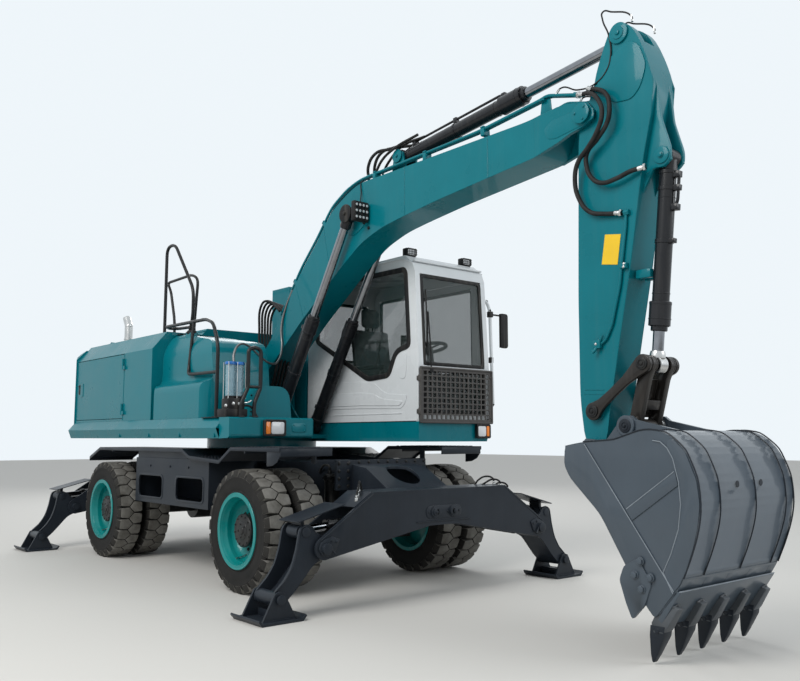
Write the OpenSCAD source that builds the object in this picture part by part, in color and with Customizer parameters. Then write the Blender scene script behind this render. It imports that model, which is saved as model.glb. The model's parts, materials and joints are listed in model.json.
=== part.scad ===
// Wheeled excavator with four stabiliser legs. Millimetres, +X forward along the boom, +Y to the
// cab side, +Z up. The origin is on the ground under the slewing centre.

/* [Wheels and axles] */
// Distance of the front axle ahead of the slewing centre
front_axle_x = 1679; // [1650:1:1710]
// Distance of the rear axle behind the slewing centre
rear_axle_back = 1325; // [1290:1:1360]
// Radius over the tread of each tyre
tyre_r = 520; // [500:1:530]
// Width of one tyre of a twin pair
tyre_w = 270; // [240:1:275]
// Width over the outer tyres
track_over = 2502; // [2480:1:2520]

/* [Stabilisers] */
// Distance of the front stabiliser beam's middle ahead of the slewing centre
front_beam_x = 2749; // [2740:1:2790]
// Distance of the rear stabiliser beam's middle behind the slewing centre
rear_beam_back = 2420; // [2400:1:2470]
// Side of the square foot pads
pad_side = 400; // [320:5:420]
// Height of the top of both beams
beam_top = 884; // [860:1:900]

/* [Upper body] */
// Distance of the cab's front face ahead of the slewing centre
cab_front = 2235; // [2220:1:2250]
// Height of the cab's roof
cab_roof = 3060; // [2990:5:3100]
// Thickness of the cab's walls
cab_wall = 40; // [30:1:50]
// Distance of the counterweight's rear face behind the slewing centre
tail_back = 2700; // [2660:5:2760]
// Height of the engine hood's top
hood_top = 2430; // [2380:5:2480]

/* [Boom, arm and bucket] */
// Half width of the boom
boom_half = 160; // [150:1:161]
// Half width of the arm
arm_half = 128; // [110:1:130]
// Half width of the bucket
bucket_half = 550; // [480:5:600]
// Bore radius of the lifting eyes on the counterweight
lift_eye_r = 30; // [20:1:35]

/* [Hidden] */
$fn = 48;
rear_axle_x = -rear_axle_back;
rear_beam_x = -rear_beam_back;
tail_x = -tail_back;
axle_z = tyre_r;
outer_y = track_over / 2;
fit_gap = 0.05;
skin_gap = 0.3;
kingpin_y = 620;
spindle_r = 60;
hub_z = outer_y - 301;
twin_in = outer_y - 593;
hinge_r = 7;
hinge_h = 120;
hinge_out = 14;

// One corner c between its neighbours a and b, rounded over the reach r in n steps
function corner(a, c, b, r, n) =
  let (s = c + (a - c) / norm(a - c) * min(r, 0.45 * norm(a - c)),
    e = c + (b - c) / norm(b - c) * min(r, 0.45 * norm(b - c)))
  [for (k = [0 : n]) let (t = k / n) s * pow(1 - t, 2) + c * 2 * t * (1 - t) + e * pow(t, 2)];

// An outline with all its corners rounded, and an open run with its ends kept
function soft(p, r, n = 3) = [for (i = [0 : len(p) - 1])
  each corner(p[(i + len(p) - 1) % len(p)], p[i], p[(i + 1) % len(p)], r, n)];
function soft_run(p, r, n = 3) = [p[0], for (i = [1 : len(p) - 2]) each corner(p[i - 1], p[i], p[i + 1], r,
  n),
  p[len(p) - 1]];

function inner_points(p) = [for (i = [1 : len(p) - 2]) p[i]];

module plate_y(pts, y0, y1) {
  translate([0, y1, 0]) rotate([90, 0, 0]) linear_extrude(y1 - y0) polygon(pts);
}

module plate_x(pts, x0, x1) {
  translate([x0, 0, 0]) rotate([90, 0, 90]) linear_extrude(x1 - x0) polygon(pts);
}

module rod_y(x, z, y0, y1, r) {
  translate([x, y0, z]) rotate([-90, 0, 0]) cylinder(h = y1 - y0, r = r);
}

module rod_x(y, z, x0, x1, r) {
  translate([x0, y, z]) rotate([0, 90, 0]) cylinder(h = x1 - x0, r = r);
}

module box(x0, x1, y0, y1, z0, z1) {
  translate([x0, y0, z0]) cube([x1 - x0, y1 - y0, z1 - z0]);
}

// A round bar between two points
module bar(a, b, r) {
  d = b - a;
  len = norm(d);
  translate(a) rotate([0, acos(d[2] / len), atan2(d[1], d[0])]) cylinder(h = len, r = r);
}

// A bent tube through the listed points, with a ball a little wider than the tube at each inner corner
module tube_path(pts, r) {
  for (i = [0 : len(pts) - 2]) bar(pts[i], pts[i + 1], r);
  for (i = [1 : len(pts) - 2]) translate(pts[i]) sphere(r = r + 1.5);
}

// Half of a hinge on the body: a pin, its foot and the leaf that lies towards +X, with the axis along Z
module hinge_pin() {
  cylinder(h = hinge_h, r = hinge_r);
  cylinder(h = hinge_h / 3, r = hinge_r + 6);
  translate([8, -6, 0]) cube([50, 20.1, hinge_h / 3]);
}

// The other half, on the door towards -X
module hinge_barrel(reach) {
  difference() {
    union() {
      translate([0, 0, hinge_h / 3 + skin_gap]) cylinder(h = hinge_h * 2 / 3 - 2, r = hinge_r + 6);
      translate([-58, -6, hinge_h / 3 + skin_gap]) cube([56, 6 + reach, hinge_h * 2 / 3 - 2]);
    }
    cylinder(h = hinge_h + 1, r = hinge_r + fit_gap);
  }
}

module both_sides() {
  children();
  mirror([0, 1, 0]) children();
}

/* [Hidden] */
// Undercarriage
frame_half = 350;
frame_top = 1080;
frame_low = 700;
ring_r = 590;
flange_x = 2080;

module chassis_frame() {
  color("#3a4048") {
    plate_y([[-2140, 760], [-1900, frame_low], [flange_x, frame_low], [flange_x, frame_top],
      [-2140, frame_top]], -frame_half, frame_half);
    plate_x([[-520, 1110], [520, 1110], [520, 850], [frame_half, 850], [frame_half, frame_low],
      [-frame_half, frame_low], [-frame_half, 850], [-520, 850]], flange_x, flange_x + 30);
    translate([0, 0, frame_top]) cylinder(h = 50, r = ring_r + 30, $fn = 72);
    translate([0, 0, frame_top + 50]) cylinder(h = 60, r = ring_r - 60, $fn = 72);
    both_sides() box(-500, 500, frame_half, frame_half + 180, frame_top - 120, frame_top);
    // Neck that carries the front stabiliser beam
    both_sides() plate_y([[flange_x + 30, 1050], [2300, 1030], [front_beam_x - beam_half_x, beam_top],
      [front_beam_x - beam_half_x, frame_low], [flange_x + 30, frame_low]], 300, 345);
    difference() {
      plate_y([[flange_x + 30, 1070], [2300, 1045], [front_beam_x - beam_half_x, beam_top],
        [front_beam_x - beam_half_x, beam_top - 24], [2290, 1020], [flange_x + 30, 1045]], -345, 345);
      translate([2390, 0, 800]) cylinder(h = 400, r = 150);
    }
    // Neck that carries the rear stabiliser beam
    box(rear_beam_x + beam_half_x, -2130, -345, 345, frame_low, beam_top);
    both_sides() box(2060, 2080, 345, 500, 900, 1080);
  }
}

module axle(x) {
  translate([x, 0, axle_z]) {
    rotate([-90, 0, 0]) translate([0, 0, -470]) cylinder(h = 940, r = 80);
    rotate([-90, 0, 0]) translate([0, 0, -150]) cylinder(h = 300, r = 160);
    translate([-80, -180, 100]) cube([160, 360, frame_low - axle_z - 100]);
  }
}

module axles() {
  color("#23262a") {
    difference() {
      union() {
        axle(front_axle_x);
        both_sides() translate([front_axle_x, 0, axle_z]) {
          translate([-60, 440, -170]) cube([120, 60, 340]);
          for (z = [-170, 130]) {
            translate([-60, 480, z]) cube([120, kingpin_y - 480, 40]);
            translate([0, kingpin_y, z]) cylinder(h = 40, r = 60);
          }
        }
      }
      both_sides() translate([front_axle_x, kingpin_y, axle_z - 200]) cylinder(h = 400, r = 25 + fit_gap);
    }
    axle(rear_axle_x);
    both_sides() rod_y(rear_axle_x, axle_z, 460, hub_z - 10, spindle_r);
  }
}

module driveshafts() {
  color("#2b2e33") {
    rod_x(0, axle_z, front_axle_x - 900, front_axle_x - 160 - skin_gap, 45);
    rod_x(0, axle_z, rear_axle_x + 160 + skin_gap, -200, 45);
    box(-200, front_axle_x - 900, -160, 160, 430, frame_low);
  }
}

// Profile of one tyre as [radius, distance from its middle]
module tyre_ring() {
  h = tyre_w / 2;
  rotate_extrude($fn = 48) polygon([[305, -h + 10], [400, -h], [470, -h + 7], [tyre_r, -h + 24],
    [tyre_r, h - 24], [470, h - 7], [400, h], [305, h - 10]]);
}

module rim_ring() {
  h = tyre_w / 2;
  rotate_extrude($fn = 48) polygon([[305 - skin_gap, -h + 8], [318, -h + 2], [318, -h - 4],
    [285, -h - 4], [270, -h + 40], [262, -h + 60], [262, h - 60], [270, h - 40], [285, h + 4], [318, h + 4],
    [318, h - 2], [305 - skin_gap, h - 8]]);
}

// Outer face of the twin pair towards +Z, which is turned outwards by wheel_at
module tyres_pair() {
  for (z = [outer_y - tyre_w / 2, twin_in + tyre_w / 2]) translate([0, 0, z]) tyre_ring();
}

module rims_pair() {
  difference() {
    union() {
      for (z = [outer_y - tyre_w / 2, twin_in + tyre_w / 2]) translate([0, 0, z]) rim_ring();
      // Outer wheel's dish, inner wheel's disc and the hub between them
      rotate_extrude() polygon([[55, hub_z], [150, hub_z], [264, hub_z + 95], [264, hub_z + 120],
        [150, hub_z + 35],
        [55, hub_z + 35]]);
      translate([0, 0, twin_in + tyre_w / 2 + 40]) rotate_extrude() polygon([[100, 0], [264, 0], [264, 22],
        [100, 22]]);
      translate([0, 0, 690]) cylinder(h = hub_z - 680, r = 110);
      translate([0, 0, hub_z + 34]) cylinder(h = 75, r = 118);
      translate([0, 0, hub_z + 108]) cylinder(h = 22, r = 96);
    }
    translate([0, 0, 600]) cylinder(h = hub_z - 605, r = spindle_r + fit_gap);
  }
}

module wheel_at(x, side) {
  translate([x, 0, axle_z]) rotate([-90 * side, 0, 0]) children();
}

module tyres(x, side) {
  color("#1d1d1c") wheel_at(x, side) tyres_pair();
}

module rims(x, side) {
  color("#12867f") wheel_at(x, side) rims_pair();
}

module knuckle(side) {
  color("#23262a") mirror([0, side < 0 ? 1 : 0, 0]) translate([front_axle_x, 0, axle_z]) {
    translate([0, kingpin_y, -124]) cylinder(h = 248, r = 55);
    translate([0, kingpin_y, -168]) cylinder(h = 336, r = 25);
    translate([0, kingpin_y, 0]) rotate([-90, 0, 0]) cylinder(h = hub_z - 10 - kingpin_y, r = spindle_r);
  }
}

// Beam outline on the +Y half as [y, z]
pivot_y = 1205;
pivot_z = 488;
beam_half_x = 165;

module beam(x) {
  difference() {
    union() {
      for (s = [-1, 1]) translate([x + s * (beam_half_x - 10), 0, 0]) {
        plate_x([[-750, beam_top], [750, beam_top], [1262, 552], [1262, 470], [1180, 408], [243, 572],
          [150, 589], [-150, 589], [-243, 572], [-1180, 408], [-1262, 470], [-1262, 552]], -10, 10);
        both_sides() translate([0, pivot_y, pivot_z]) rotate([0, 90, 0]) translate([0, 0, -10])
          cylinder(h = 20, r = 84);
      }
      box(x - beam_half_x, x + beam_half_x, -750, 750, beam_top - 20, beam_top);
      plate_x([[-600, 532], [-243, 590], [-150, 607], [150, 607], [243, 590], [600, 532], [600, 512],
        [243, 572], [150, 589], [-150, 589], [-243, 572], [-600, 512]], x - beam_half_x, x + beam_half_x);
      for (y = [-300, 280]) box(x - beam_half_x, x + beam_half_x, y, y + 20, 570, beam_top);
    }
    both_sides() rod_x(pivot_y, pivot_z, x - 200, x + 200, 40 + fit_gap);
  }
  // Bosses on the outer face
  for (y = [-80, 80]) rod_x(y, 700, x + sign(x) * 180 - 15, x + sign(x) * 180 + 15, 26);
}

module stabiliser_beams() {
  color("#333a44") {
    beam(front_beam_x);
    beam(rear_beam_x);
  }
}

// Leg outline about its pivot, with +X outwards, and its two other pins
leg_eye = [144, 125];
leg_foot = [376, -328];
LEG_OUTLINE = [[-50, 65], [60, 120], [90, 165], [144, 187], [195, 160], [208, 110], [222, 20], [262, -110],
  [330, -210], [415, -285], [432, -335], [410, -375], [376, -384], [330, -372], [235, -290], [70, -110],
  [0, -82], [-60, -55]];

module leg_plate() {
  rotate([90, 0, 90]) linear_extrude(20) polygon(soft(LEG_OUTLINE, 40, 2));
}

module leg(x, side) {
  color("#333a44") mirror([0, side < 0 ? 1 : 0, 0]) translate([x, pivot_y, pivot_z]) {
    for (s = [-125, 105]) translate([s, 0, 0]) leg_plate();
    translate([-106, 0, 0]) rotate([90, 0, 90]) linear_extrude(212)
      polygon([[-50, -50], [0, -78], [66, -104], [230, -284], [326, -365], [340, -340], [245, -262],
        [80, -80], [10, -55]]);
    translate([-200, 0, 0]) rotate([0, 90, 0]) cylinder(h = 400, r = 40);
    translate([-124, leg_eye[0], leg_eye[1]]) rotate([0, 90, 0]) cylinder(h = 248, r = 28);
    translate([-165, leg_foot[0], leg_foot[1]]) rotate([0, 90, 0]) cylinder(h = 330, r = 28);
    translate([-124, leg_foot[0], leg_foot[1]]) rotate([0, 90, 0]) cylinder(h = 248, r = 50);
  }
}

module pad(x, side) {
  y = pivot_y + leg_foot[0];
  z = pivot_z + leg_foot[1];
  h = pad_side / 2;
  color("#333a44") mirror([0, side < 0 ? 1 : 0, 0]) translate([x, y, 0]) {
    plate_x([[-h + 30, 0], [h - 30, 0], [h, 35], [h - 6, 47], [h - 40, 20], [-h + 40, 20], [-h + 6, 47],
      [-h, 35]], -h, h);
    difference() {
      for (s = [-150, 132]) plate_x([[-140, 19], [140, 19], [58, z + 12], [40, z + 45], [0, z + 58],
        [-40, z + 45],
        [-58, z + 12]], s, s + 18);
      rod_x(0, z, -200, 200, 28 + fit_gap);
    }
  }
}

module leg_rod(x, side) {
  color("#c9ccd0") mirror([0, side < 0 ? 1 : 0, 0]) translate([x, pivot_y + leg_eye[0],
    pivot_z + leg_eye[1]]) {
    difference() {
      union() {
        translate([-70, 0, 0]) rotate([0, 90, 0]) cylinder(h = 140, r = 48);
        rotate([90 - 4, 0, 0]) cylinder(h = 560, r = 32);
        translate([-60, -25, 30]) cube([120, 30, 68]);
      }
      translate([-80, 0, 0]) rotate([0, 90, 0]) cylinder(h = 160, r = 28 + fit_gap);
    }
    translate([-135, 0, 0]) rotate([90, 0, 90]) linear_extrude(270)
      polygon([[70, 74], [40, 82], [-350, 183], [-350, 191], [42, 90], [72, 82]]);
  }
}

// Fender and step plate as a bent sheet, given as [x, z] along the top
GUARD_LINE = [[-1950, 1090], [-1640, 1200], [450, 1200], [600, 1135], [1190, 1105], [1400, 1224],
  [2210, 1224]];
guard_in = 640;
guard_out = 1170;
step_x0 = -720;
step_x1 = 915;
step_y = 1120;

module side_guard() {
  n = len(GUARD_LINE) - 1;
  plate_y([for (p = GUARD_LINE) p, for (i = [n : -1 : 0]) [GUARD_LINE[i][0], GUARD_LINE[i][1] - 14]],
    guard_in, guard_out);
  difference() {
    box(step_x0, step_x1, guard_in, step_y, 640, 1100);
    box(step_x0 + 15, step_x1 - 15, guard_in + 15, step_y - 15, 655, 1085);
    for (x = [-640, 240]) box(x, x + 570, step_y - 20, step_y + 1, 700, 920);
  }
  box(-480, 480, frame_half + 180, guard_in + 1, 1000, 1079);
  box(-700, 450, guard_in, guard_out - 60, 1100, 1187);
  // Brackets on the frame's top that carry the fenders' ends
  for (b = [[-1500, 1187], [1900, 1211]]) {
    box(b[0], b[0] + 60, 250, guard_in + 5, frame_top, frame_top + 30);
    box(b[0], b[0] + 60, guard_in - 10, guard_in + 5, frame_top, b[1]);
  }
}

module side_guards() {
  color("#2c3138") both_sides() side_guard();
}

/* [Hidden] */
// Upper body
deck_low = 1300;
ring_low = frame_top + 110 + skin_gap;
deck_top = 1490;
cab_low = 1458;
deck_in = 325;
cab_y0 = deck_in;
cab_y1 = 1265;
cab_rear = 400;
deck_front = 1450;
hood_x0 = -2480;
hood_x1 = -300;
hood_half = 1170;
hood_shoulder = hood_top - 190;
pivot = [80, 1710];
ear_half = 168;
lift_base = [660, 1420];
lift_y = 240;

module deck_frame() {
  color("#0d6f78") {
    // Ring under the deck, and the deck's floor
    translate([0, 0, ring_low]) cylinder(h = deck_low - ring_low, r = ring_r, $fn = 72);
    box(hood_x0, 760, -1080, 1080, deck_low, deck_low + 40);
    // Side decks with their sloping skirts
    both_sides() plate_x([[-hood_half, deck_top], [-1250, 1395], [-1215, deck_low], [-deck_in, deck_low],
      [-deck_in, deck_top]], hood_x0, hood_x1);
    plate_x([[-hood_half, deck_top], [-1250, 1395], [-1215, deck_low], [-deck_in, deck_low],
      [-deck_in, deck_top]],
      hood_x1 - 1, 1270);
    plate_y([[1265, deck_low], [deck_front - 20, deck_low + 5], [deck_front, deck_low + 20],
      [deck_front, deck_top - 12],
      [deck_front - 12, deck_top], [1265, deck_top]], -1215, -deck_in);
    plate_x([[deck_in, deck_low - 30], [1225, deck_low - 30], [cab_y1, 1360], [cab_y1, cab_low],
      [deck_in, cab_low]],
      hood_x1 - 1, cab_front);
    // Boom foot brackets
    difference() {
      both_sides() plate_y([[-290, deck_low + 20], [-200, 1600], [-60, 1800], [10, 1850], [90, 1862],
        [180, 1830],
        [235, 1740], [400, 1560], [560, 1420], [570, deck_low + 20]], ear_half, ear_half + 20);
      rod_y(pivot[0], pivot[1], -300, 300, 50 + fit_gap);
    }
    // Block and pin that carry the boom cylinders' base eyes
    box(lift_base[0] - 90, lift_base[0] + 95, -160, 160, deck_low + 39, lift_base[1] + 70);
    rod_y(lift_base[0], lift_base[1], -lift_y - 48, lift_y + 48, 38);
  }
}

module counterweight() {
  color("#0d6f78") {
    intersection() {
      plate_y([[hood_x0, deck_low], [tail_x + 160, deck_low], [tail_x, 1450], [tail_x + 70, 2200],
        [tail_x + 150, 2345], [hood_x0, hood_top - 40]], -1250, 1250);
      linear_extrude(3000) polygon(soft_run([[hood_x0, -1185], [tail_x, -1080], [tail_x - 40, -600],
        [tail_x - 50, 0], [tail_x - 40, 600], [tail_x, 1080], [hood_x0, 1185]], 130, 4));
      plate_x([[-1200, deck_low], [-1200, hood_shoulder + 10], [-1025, hood_top], [1025, hood_top],
        [1200, hood_shoulder + 10], [1200, deck_low]], tail_x - 100, hood_x0 + 1);
    }
    for (y = [-700, 700]) translate([hood_x0 - 80, y, 0]) difference() {
      union() {
        rod_y(0, hood_top + 40, -20, 20, 60);
        box(-60, 60, -20, 20, hood_top - 120, hood_top + 40);
      }
      rod_y(0, hood_top + 40, -30, 30, lift_eye_r);
    }
  }
}

door_x0 = hood_x0 + 25;
door_x1 = -1030;
HOOD_HINGES = [1560, 2060];

module hood_section(g) {
  polygon([[-hood_half + g, deck_top], [-hood_half + g, hood_shoulder], [-hood_half + 160 + g,
    hood_top - g],
    [hood_half - 160 - g, hood_top - g], [hood_half - g, hood_shoulder], [hood_half - g, deck_top]]);
}

module engine_hood() {
  color("#0d7a84") {
    difference() {
      translate([hood_x0, 0, 0]) rotate([90, 0, 90]) linear_extrude(hood_x1 - hood_x0) hood_section(0);
      translate([hood_x0 - 1, 0, 0]) rotate([90, 0, 90]) linear_extrude(hood_x1 - hood_x0 - 29)
        translate([0, -1]) hood_section(30);
      box(door_x0 - 6, door_x1 + 6, -hood_half - 60, -hood_half + 70, deck_top + 24, hood_shoulder - 4);
    }
    // Raised middle of the hood
    plate_x([[-600, hood_top], [-540, hood_top + 70], [900, hood_top + 70], [960, hood_top]], -1500,
      hood_x1);
    for (z = HOOD_HINGES) translate([door_x1, -hood_half - hinge_out, z]) hinge_pin();
  }
}

module hood_door() {
  color("#0d7a84") {
    box(door_x0, door_x1, 2 - hood_half, 28 - hood_half, deck_top + 30, hood_shoulder - 10);
    box(door_x0 + 120, door_x0 + 200, -hood_half - 4, 3 - hood_half, 1800, 1960);
    for (z = HOOD_HINGES) translate([door_x1, -hood_half - hinge_out, z]) hinge_barrel(hinge_out + 3);
  }
}

module engine_block() {
  color("#4b4f54") {
    box(-2050, -950, -350, 550, deck_top, 2100);
  }
}

module side_boxes() {
  color("#0d7a84") {
    // Tank ahead of the hood on the right, with its wider lower part
    intersection() {
      plate_x(soft_run([[-1165, deck_top], [-1165, 1835], [-1050, 1855], [-1050, 2190], [-930, 2400],
        [-430, 2400], [-430, deck_top]], 90, 4), hood_x1, 830);
      plate_y(soft_run([[hood_x1, deck_top], [hood_x1, 2400], [-150, 2395], [760, 2250], [830, 1900],
        [830, deck_top]],
        130, 4), -1300, 0);
      linear_extrude(3000) polygon(soft_run([[hood_x1, 0], [hood_x1, -1200], [830, -1200], [830, 0]], 190,
        5));
    }
    box(60, 160, -970, -890, 2200, 2380);
    // Rounded box beside the boom foot
    plate_x(soft_run([[-860, deck_top], [-860, 1790], [-480, 1790], [-450, deck_top]], 130, 5), 900, 1270);
    // Tall air cleaner box behind the boom foot, and the box behind the cab
    box(-170, 180, 205, 300, deck_low + 40, 2990);
    box(hood_x1, cab_rear - 40, deck_in, cab_y1 - 60, cab_low, 2150);
  }
}

// Side outline of the cab as [x, z]
CAB_OUTLINE = [[cab_rear, cab_low], [cab_front, cab_low], [cab_front, 1980], [cab_front - 52, 2880],
  [cab_front - 90, 2975], [cab_front - 200, cab_roof], [cab_rear + 150, cab_roof],
  [cab_rear + 40, cab_roof - 60], [cab_rear, cab_roof - 170]];
CAB_INNER = [[cab_rear + cab_wall, cab_low + cab_wall], [cab_front - cab_wall, cab_low + cab_wall],
  [cab_front - cab_wall, 1980], [cab_front - 52 - cab_wall, 2870], [cab_front - 125, 2945],
  [cab_front - 220, cab_roof - cab_wall], [cab_rear + 165, cab_roof - cab_wall],
  [cab_rear + 75, cab_roof - 95], [cab_rear + cab_wall, cab_roof - 180]];
WINDOW_RIGHT = [[560, 2330], [1460, 1885], [1800, 1905], [1905, 2130], [2105, 2165], [2060, 2880],
  [2020, 2930],
  [560, 2950]];
cab_door_x0 = 1160;
cab_door_x1 = 2110;
cab_door_z0 = 1530;
cab_door_z1 = 2900;
CAB_HINGES = [1620, 2700];

module cab_shell() {
  color("#e6e9ea") {
    for (z = CAB_HINGES) translate([cab_door_x0, cab_y1 + hinge_out, z]) rotate([0, 0, 180]) hinge_pin();
    difference() {
      plate_y(CAB_OUTLINE, cab_y0, cab_y1);
      plate_y(CAB_INNER, cab_y0 + cab_wall, cab_y1 - cab_wall);
      plate_y(WINDOW_RIGHT, cab_y0 - 1, cab_y0 + cab_wall + 1);
      // Windscreen, upper and lower
      box(cab_front - 150, cab_front + 10, cab_y0 + 60, cab_y1 - 60, 1985, 2870);
      box(cab_front - 60, cab_front + 10, cab_y0 + 60, cab_y1 - 60, 1520, 1955);
      // Door opening and the rear side window on the left
      box(cab_door_x0 - 6, cab_door_x1 + 6, cab_y1 - cab_wall - 1, cab_y1 + 1, cab_door_z0 - 6,
        cab_door_z1 + 6);
      box(cab_rear + 110, cab_door_x0 - 90, cab_y1 - cab_wall - 1, cab_y1 + 1, 2150, 2880);
      // Rear window
      box(cab_rear - 1, cab_rear + cab_wall + 1, cab_y0 + 110, cab_y1 - 110, 2150, 2820);
    }
  }
}

module cab_door() {
  color("#e6e9ea") {
    difference() {
      plate_y([[cab_door_x0, cab_door_z0], [cab_door_x1, cab_door_z0], [cab_door_x1, cab_door_z1],
        [cab_door_x0, cab_door_z1]], cab_y1 - cab_wall + 2, cab_y1 - 2);
      plate_y([[cab_door_x0 + 70, 2150], [cab_door_x0 + 350, 1950], [cab_door_x1 - 70, 1950],
        [cab_door_x1 - 80, 2830],
        [cab_door_x0 + 70, 2830]], cab_y1 - cab_wall, cab_y1);
    }
    box(cab_door_x1 - 120, cab_door_x1 - 40, cab_y1 - 2, cab_y1 + 18, 1860, 1900);
    for (z = CAB_HINGES) translate([cab_door_x0, cab_y1 + hinge_out, z]) rotate([0, 0, 180])
      hinge_barrel(hinge_out + 3);
  }
}

glass_t = 6;

module cab_glass() {
  g = skin_gap;
  color([0.2, 0.25, 0.28, 0.5]) {
    plate_y(WINDOW_RIGHT, cab_y0 + 8, cab_y0 + 8 + glass_t);
    plate_y([[cab_front - 10, 1985 + g], [cab_front - 61, 2870 - g], [cab_front - 61 - glass_t, 2870 - g],
      [cab_front - 10 - glass_t, 1985 + g]], cab_y0 + 60 + g, cab_y1 - 60 - g);
    box(cab_front - 16, cab_front - 10, cab_y0 + 60 + g, cab_y1 - 60 - g, 1520 + g, 1955 - g);
    box(cab_rear + 110 + g, cab_door_x0 - 90 - g, cab_y1 - 20, cab_y1 - 14, 2150 + g, 2880 - g);
    box(cab_rear + 14, cab_rear + 20, cab_y0 + 110 + g, cab_y1 - 110 - g, 2150 + g, 2820 - g);
  }
}

guard_rows = 9;
guard_cols = 15;

module cab_guard() {
  x = cab_front + 22;
  y0 = cab_y0 - 6;
  y1 = cab_y1 + 4;
  z0 = 1444;
  z1 = 1968;
  py = (y1 - y0 - 60) / guard_cols;
  pz = (z1 - z0 - 60) / guard_rows;
  color("#6e6a68") {
    difference() {
      box(x, x + 10, y0, y1, z0, z1);
      for (i = [0 : guard_cols - 1]) for (j = [0 : guard_rows - 1])
        box(x - 1, x + 11, y0 + 30 + i * py + 8, y0 + 30 + (i + 1) * py - 8, z0 + 30 + j * pz + 7,
          z0 + 30 + (j + 1) * pz - 7);
    }
    for (z = [z0 + 25, z1 - 35]) for (y = [y0 + 20, y1 - 45]) box(cab_front, x + 1, y, y + 20, z, z + 20);
  }
}

module operator_seat() {
  floor_z = cab_low + cab_wall;
  color("#4a4f52") {
    box(950, 1450, 540, 1050, 1760, 1900);
    plate_y([[930, 1880], [1060, 1880], [960, 2480], [880, 2500], [850, 2440]], 550, 1040);
    plate_y([[890, 2470], [960, 2465], [940, 2690], [880, 2690]], 680, 910);
    box(1000, 1400, 600, 990, floor_z, 1761);
    for (y = [410, 1090]) box(980, 1560, y, y + 90, floor_z, 2000);
    box(1930, 2030, 745, 845, floor_z, floor_z + 80);
    bar([1980, 795, floor_z + 60], [1857, 795, 2196], 40);
    translate([1855, 795, 2190]) rotate([0, -12, 0]) {
      difference() {
        cylinder(h = 24, r = 190);
        translate([0, 0, -1]) cylinder(h = 26, r = 162);
      }
      translate([-175, -20, 2]) cube([350, 40, 20]);
    }
  }
}

module handrails() {
  color("#1c1e20") {
    tube_path([[1010, -1100, deck_top], [1010, -1100, 2200], [860, -1060, 2400], [-270, -960, 2500],
      [-330, -960, 2490], [-330, -960, hood_top]], 17);
    tube_path([[-430, -930, hood_top], [-430, -930, 3330], [-340, -930, 3390], [-260, -930, 3380],
      [110, -930, 2900],
      [110, -930, 2380]], 17);
    tube_path([[1410, -1040, deck_top], [1410, -1040, 1560], [1410, -1010, 1760], [1410, -1000, 2110],
      [1410, -900, 2110],
      [1410, -890, 1760], [1410, -930, 1560], [1410, -930, deck_top]], 15);
  }
}

module exhaust() {
  color("#b9bcc0") {
    translate([-1950, -750, hood_top]) cylinder(h = 14, r = 80);
    translate([-1950, -750, hood_top]) cylinder(h = 250, r = 48);
    bar([-1950, -750, hood_top + 245], [-2020, -750, hood_top + 350], 47);
    translate([-1950, -750, hood_top + 245]) sphere(r = 49);
  }
}

module grease_pump() {
  color("#9fb4be") {
    box(1285, 1395, -1200, -1050, deck_top, 1640);
    for (y = [-1165, -1080]) {
      translate([1340, y, 1639]) cylinder(h = 320, r = 38);
      translate([1340, y, 1958]) cylinder(h = 22, r = 42);
    }
  }
}

module lamps_and_mirrors() {
  color("#22262a") {
    box(deck_front, deck_front + 30, -870, -650, 1325, 1465);
    box(cab_front, cab_front + 30, 1060, 1240, 1305, 1435);
    for (y = [cab_y0 + 40, cab_y1 - 150]) box(cab_front - 270, cab_front - 215, y, y + 110, cab_roof,
      cab_roof + 75);
    tube_path([[cab_front - 95, cab_y1, 2700], [cab_front - 95, cab_y1 + 75, 2700], [cab_front - 60,
      cab_y1 + 85, 2600],
      [cab_front - 30, cab_y1 + 85, 1640], [cab_front - 60, cab_y1 + 75, 1600], [cab_front - 60, cab_y1,
        1600]], 14);
    bar([cab_front - 55, cab_y1 + 85, 2560], [cab_front - 55, cab_y1 + 290, 2560], 9);
    box(cab_front - 68, cab_front - 38, cab_y1 + 230, cab_y1 + 320, 2230, 2580);
  }
}

/* [Hidden] */
// Boom, arm, cylinders and bucket
boom_top = 3700;
boom_tip = [4570, 3600];
lift_rod = [1895, 3395];
arm_base = [2420, boom_top + 160];
arm_eye = [4865, 4105];
arm_foot = [4580, 1220];
rocker_pin = [4593, 1485];
rocker_top = [4995, 1787];
link_pin = [4886, 1383];
curl_top = [5140, 3169];

BOOM_OUTLINE = [[-40, 1750], [-10, 1800], [0, 1980], [400, 2340], [740, 2730], [960, 2990], [1240, 3250],
  [1480, 3510], [1730, boom_top - 70], [1930, boom_top], [4060, boom_top], [4220, boom_top + 22],
  [4330, boom_top + 22],
  [4200, 3420], [4120, 3400], [3760, 3370], [3070, 3310], [2550, 3250], [2270, 3210], [1970, 3120],
    [1650, 2930],
  [970, 2475], [255, 1940], [200, 1760], [200, 1660], [140, 1600], [80, 1590], [10, 1605], [-40, 1660]];

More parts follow.
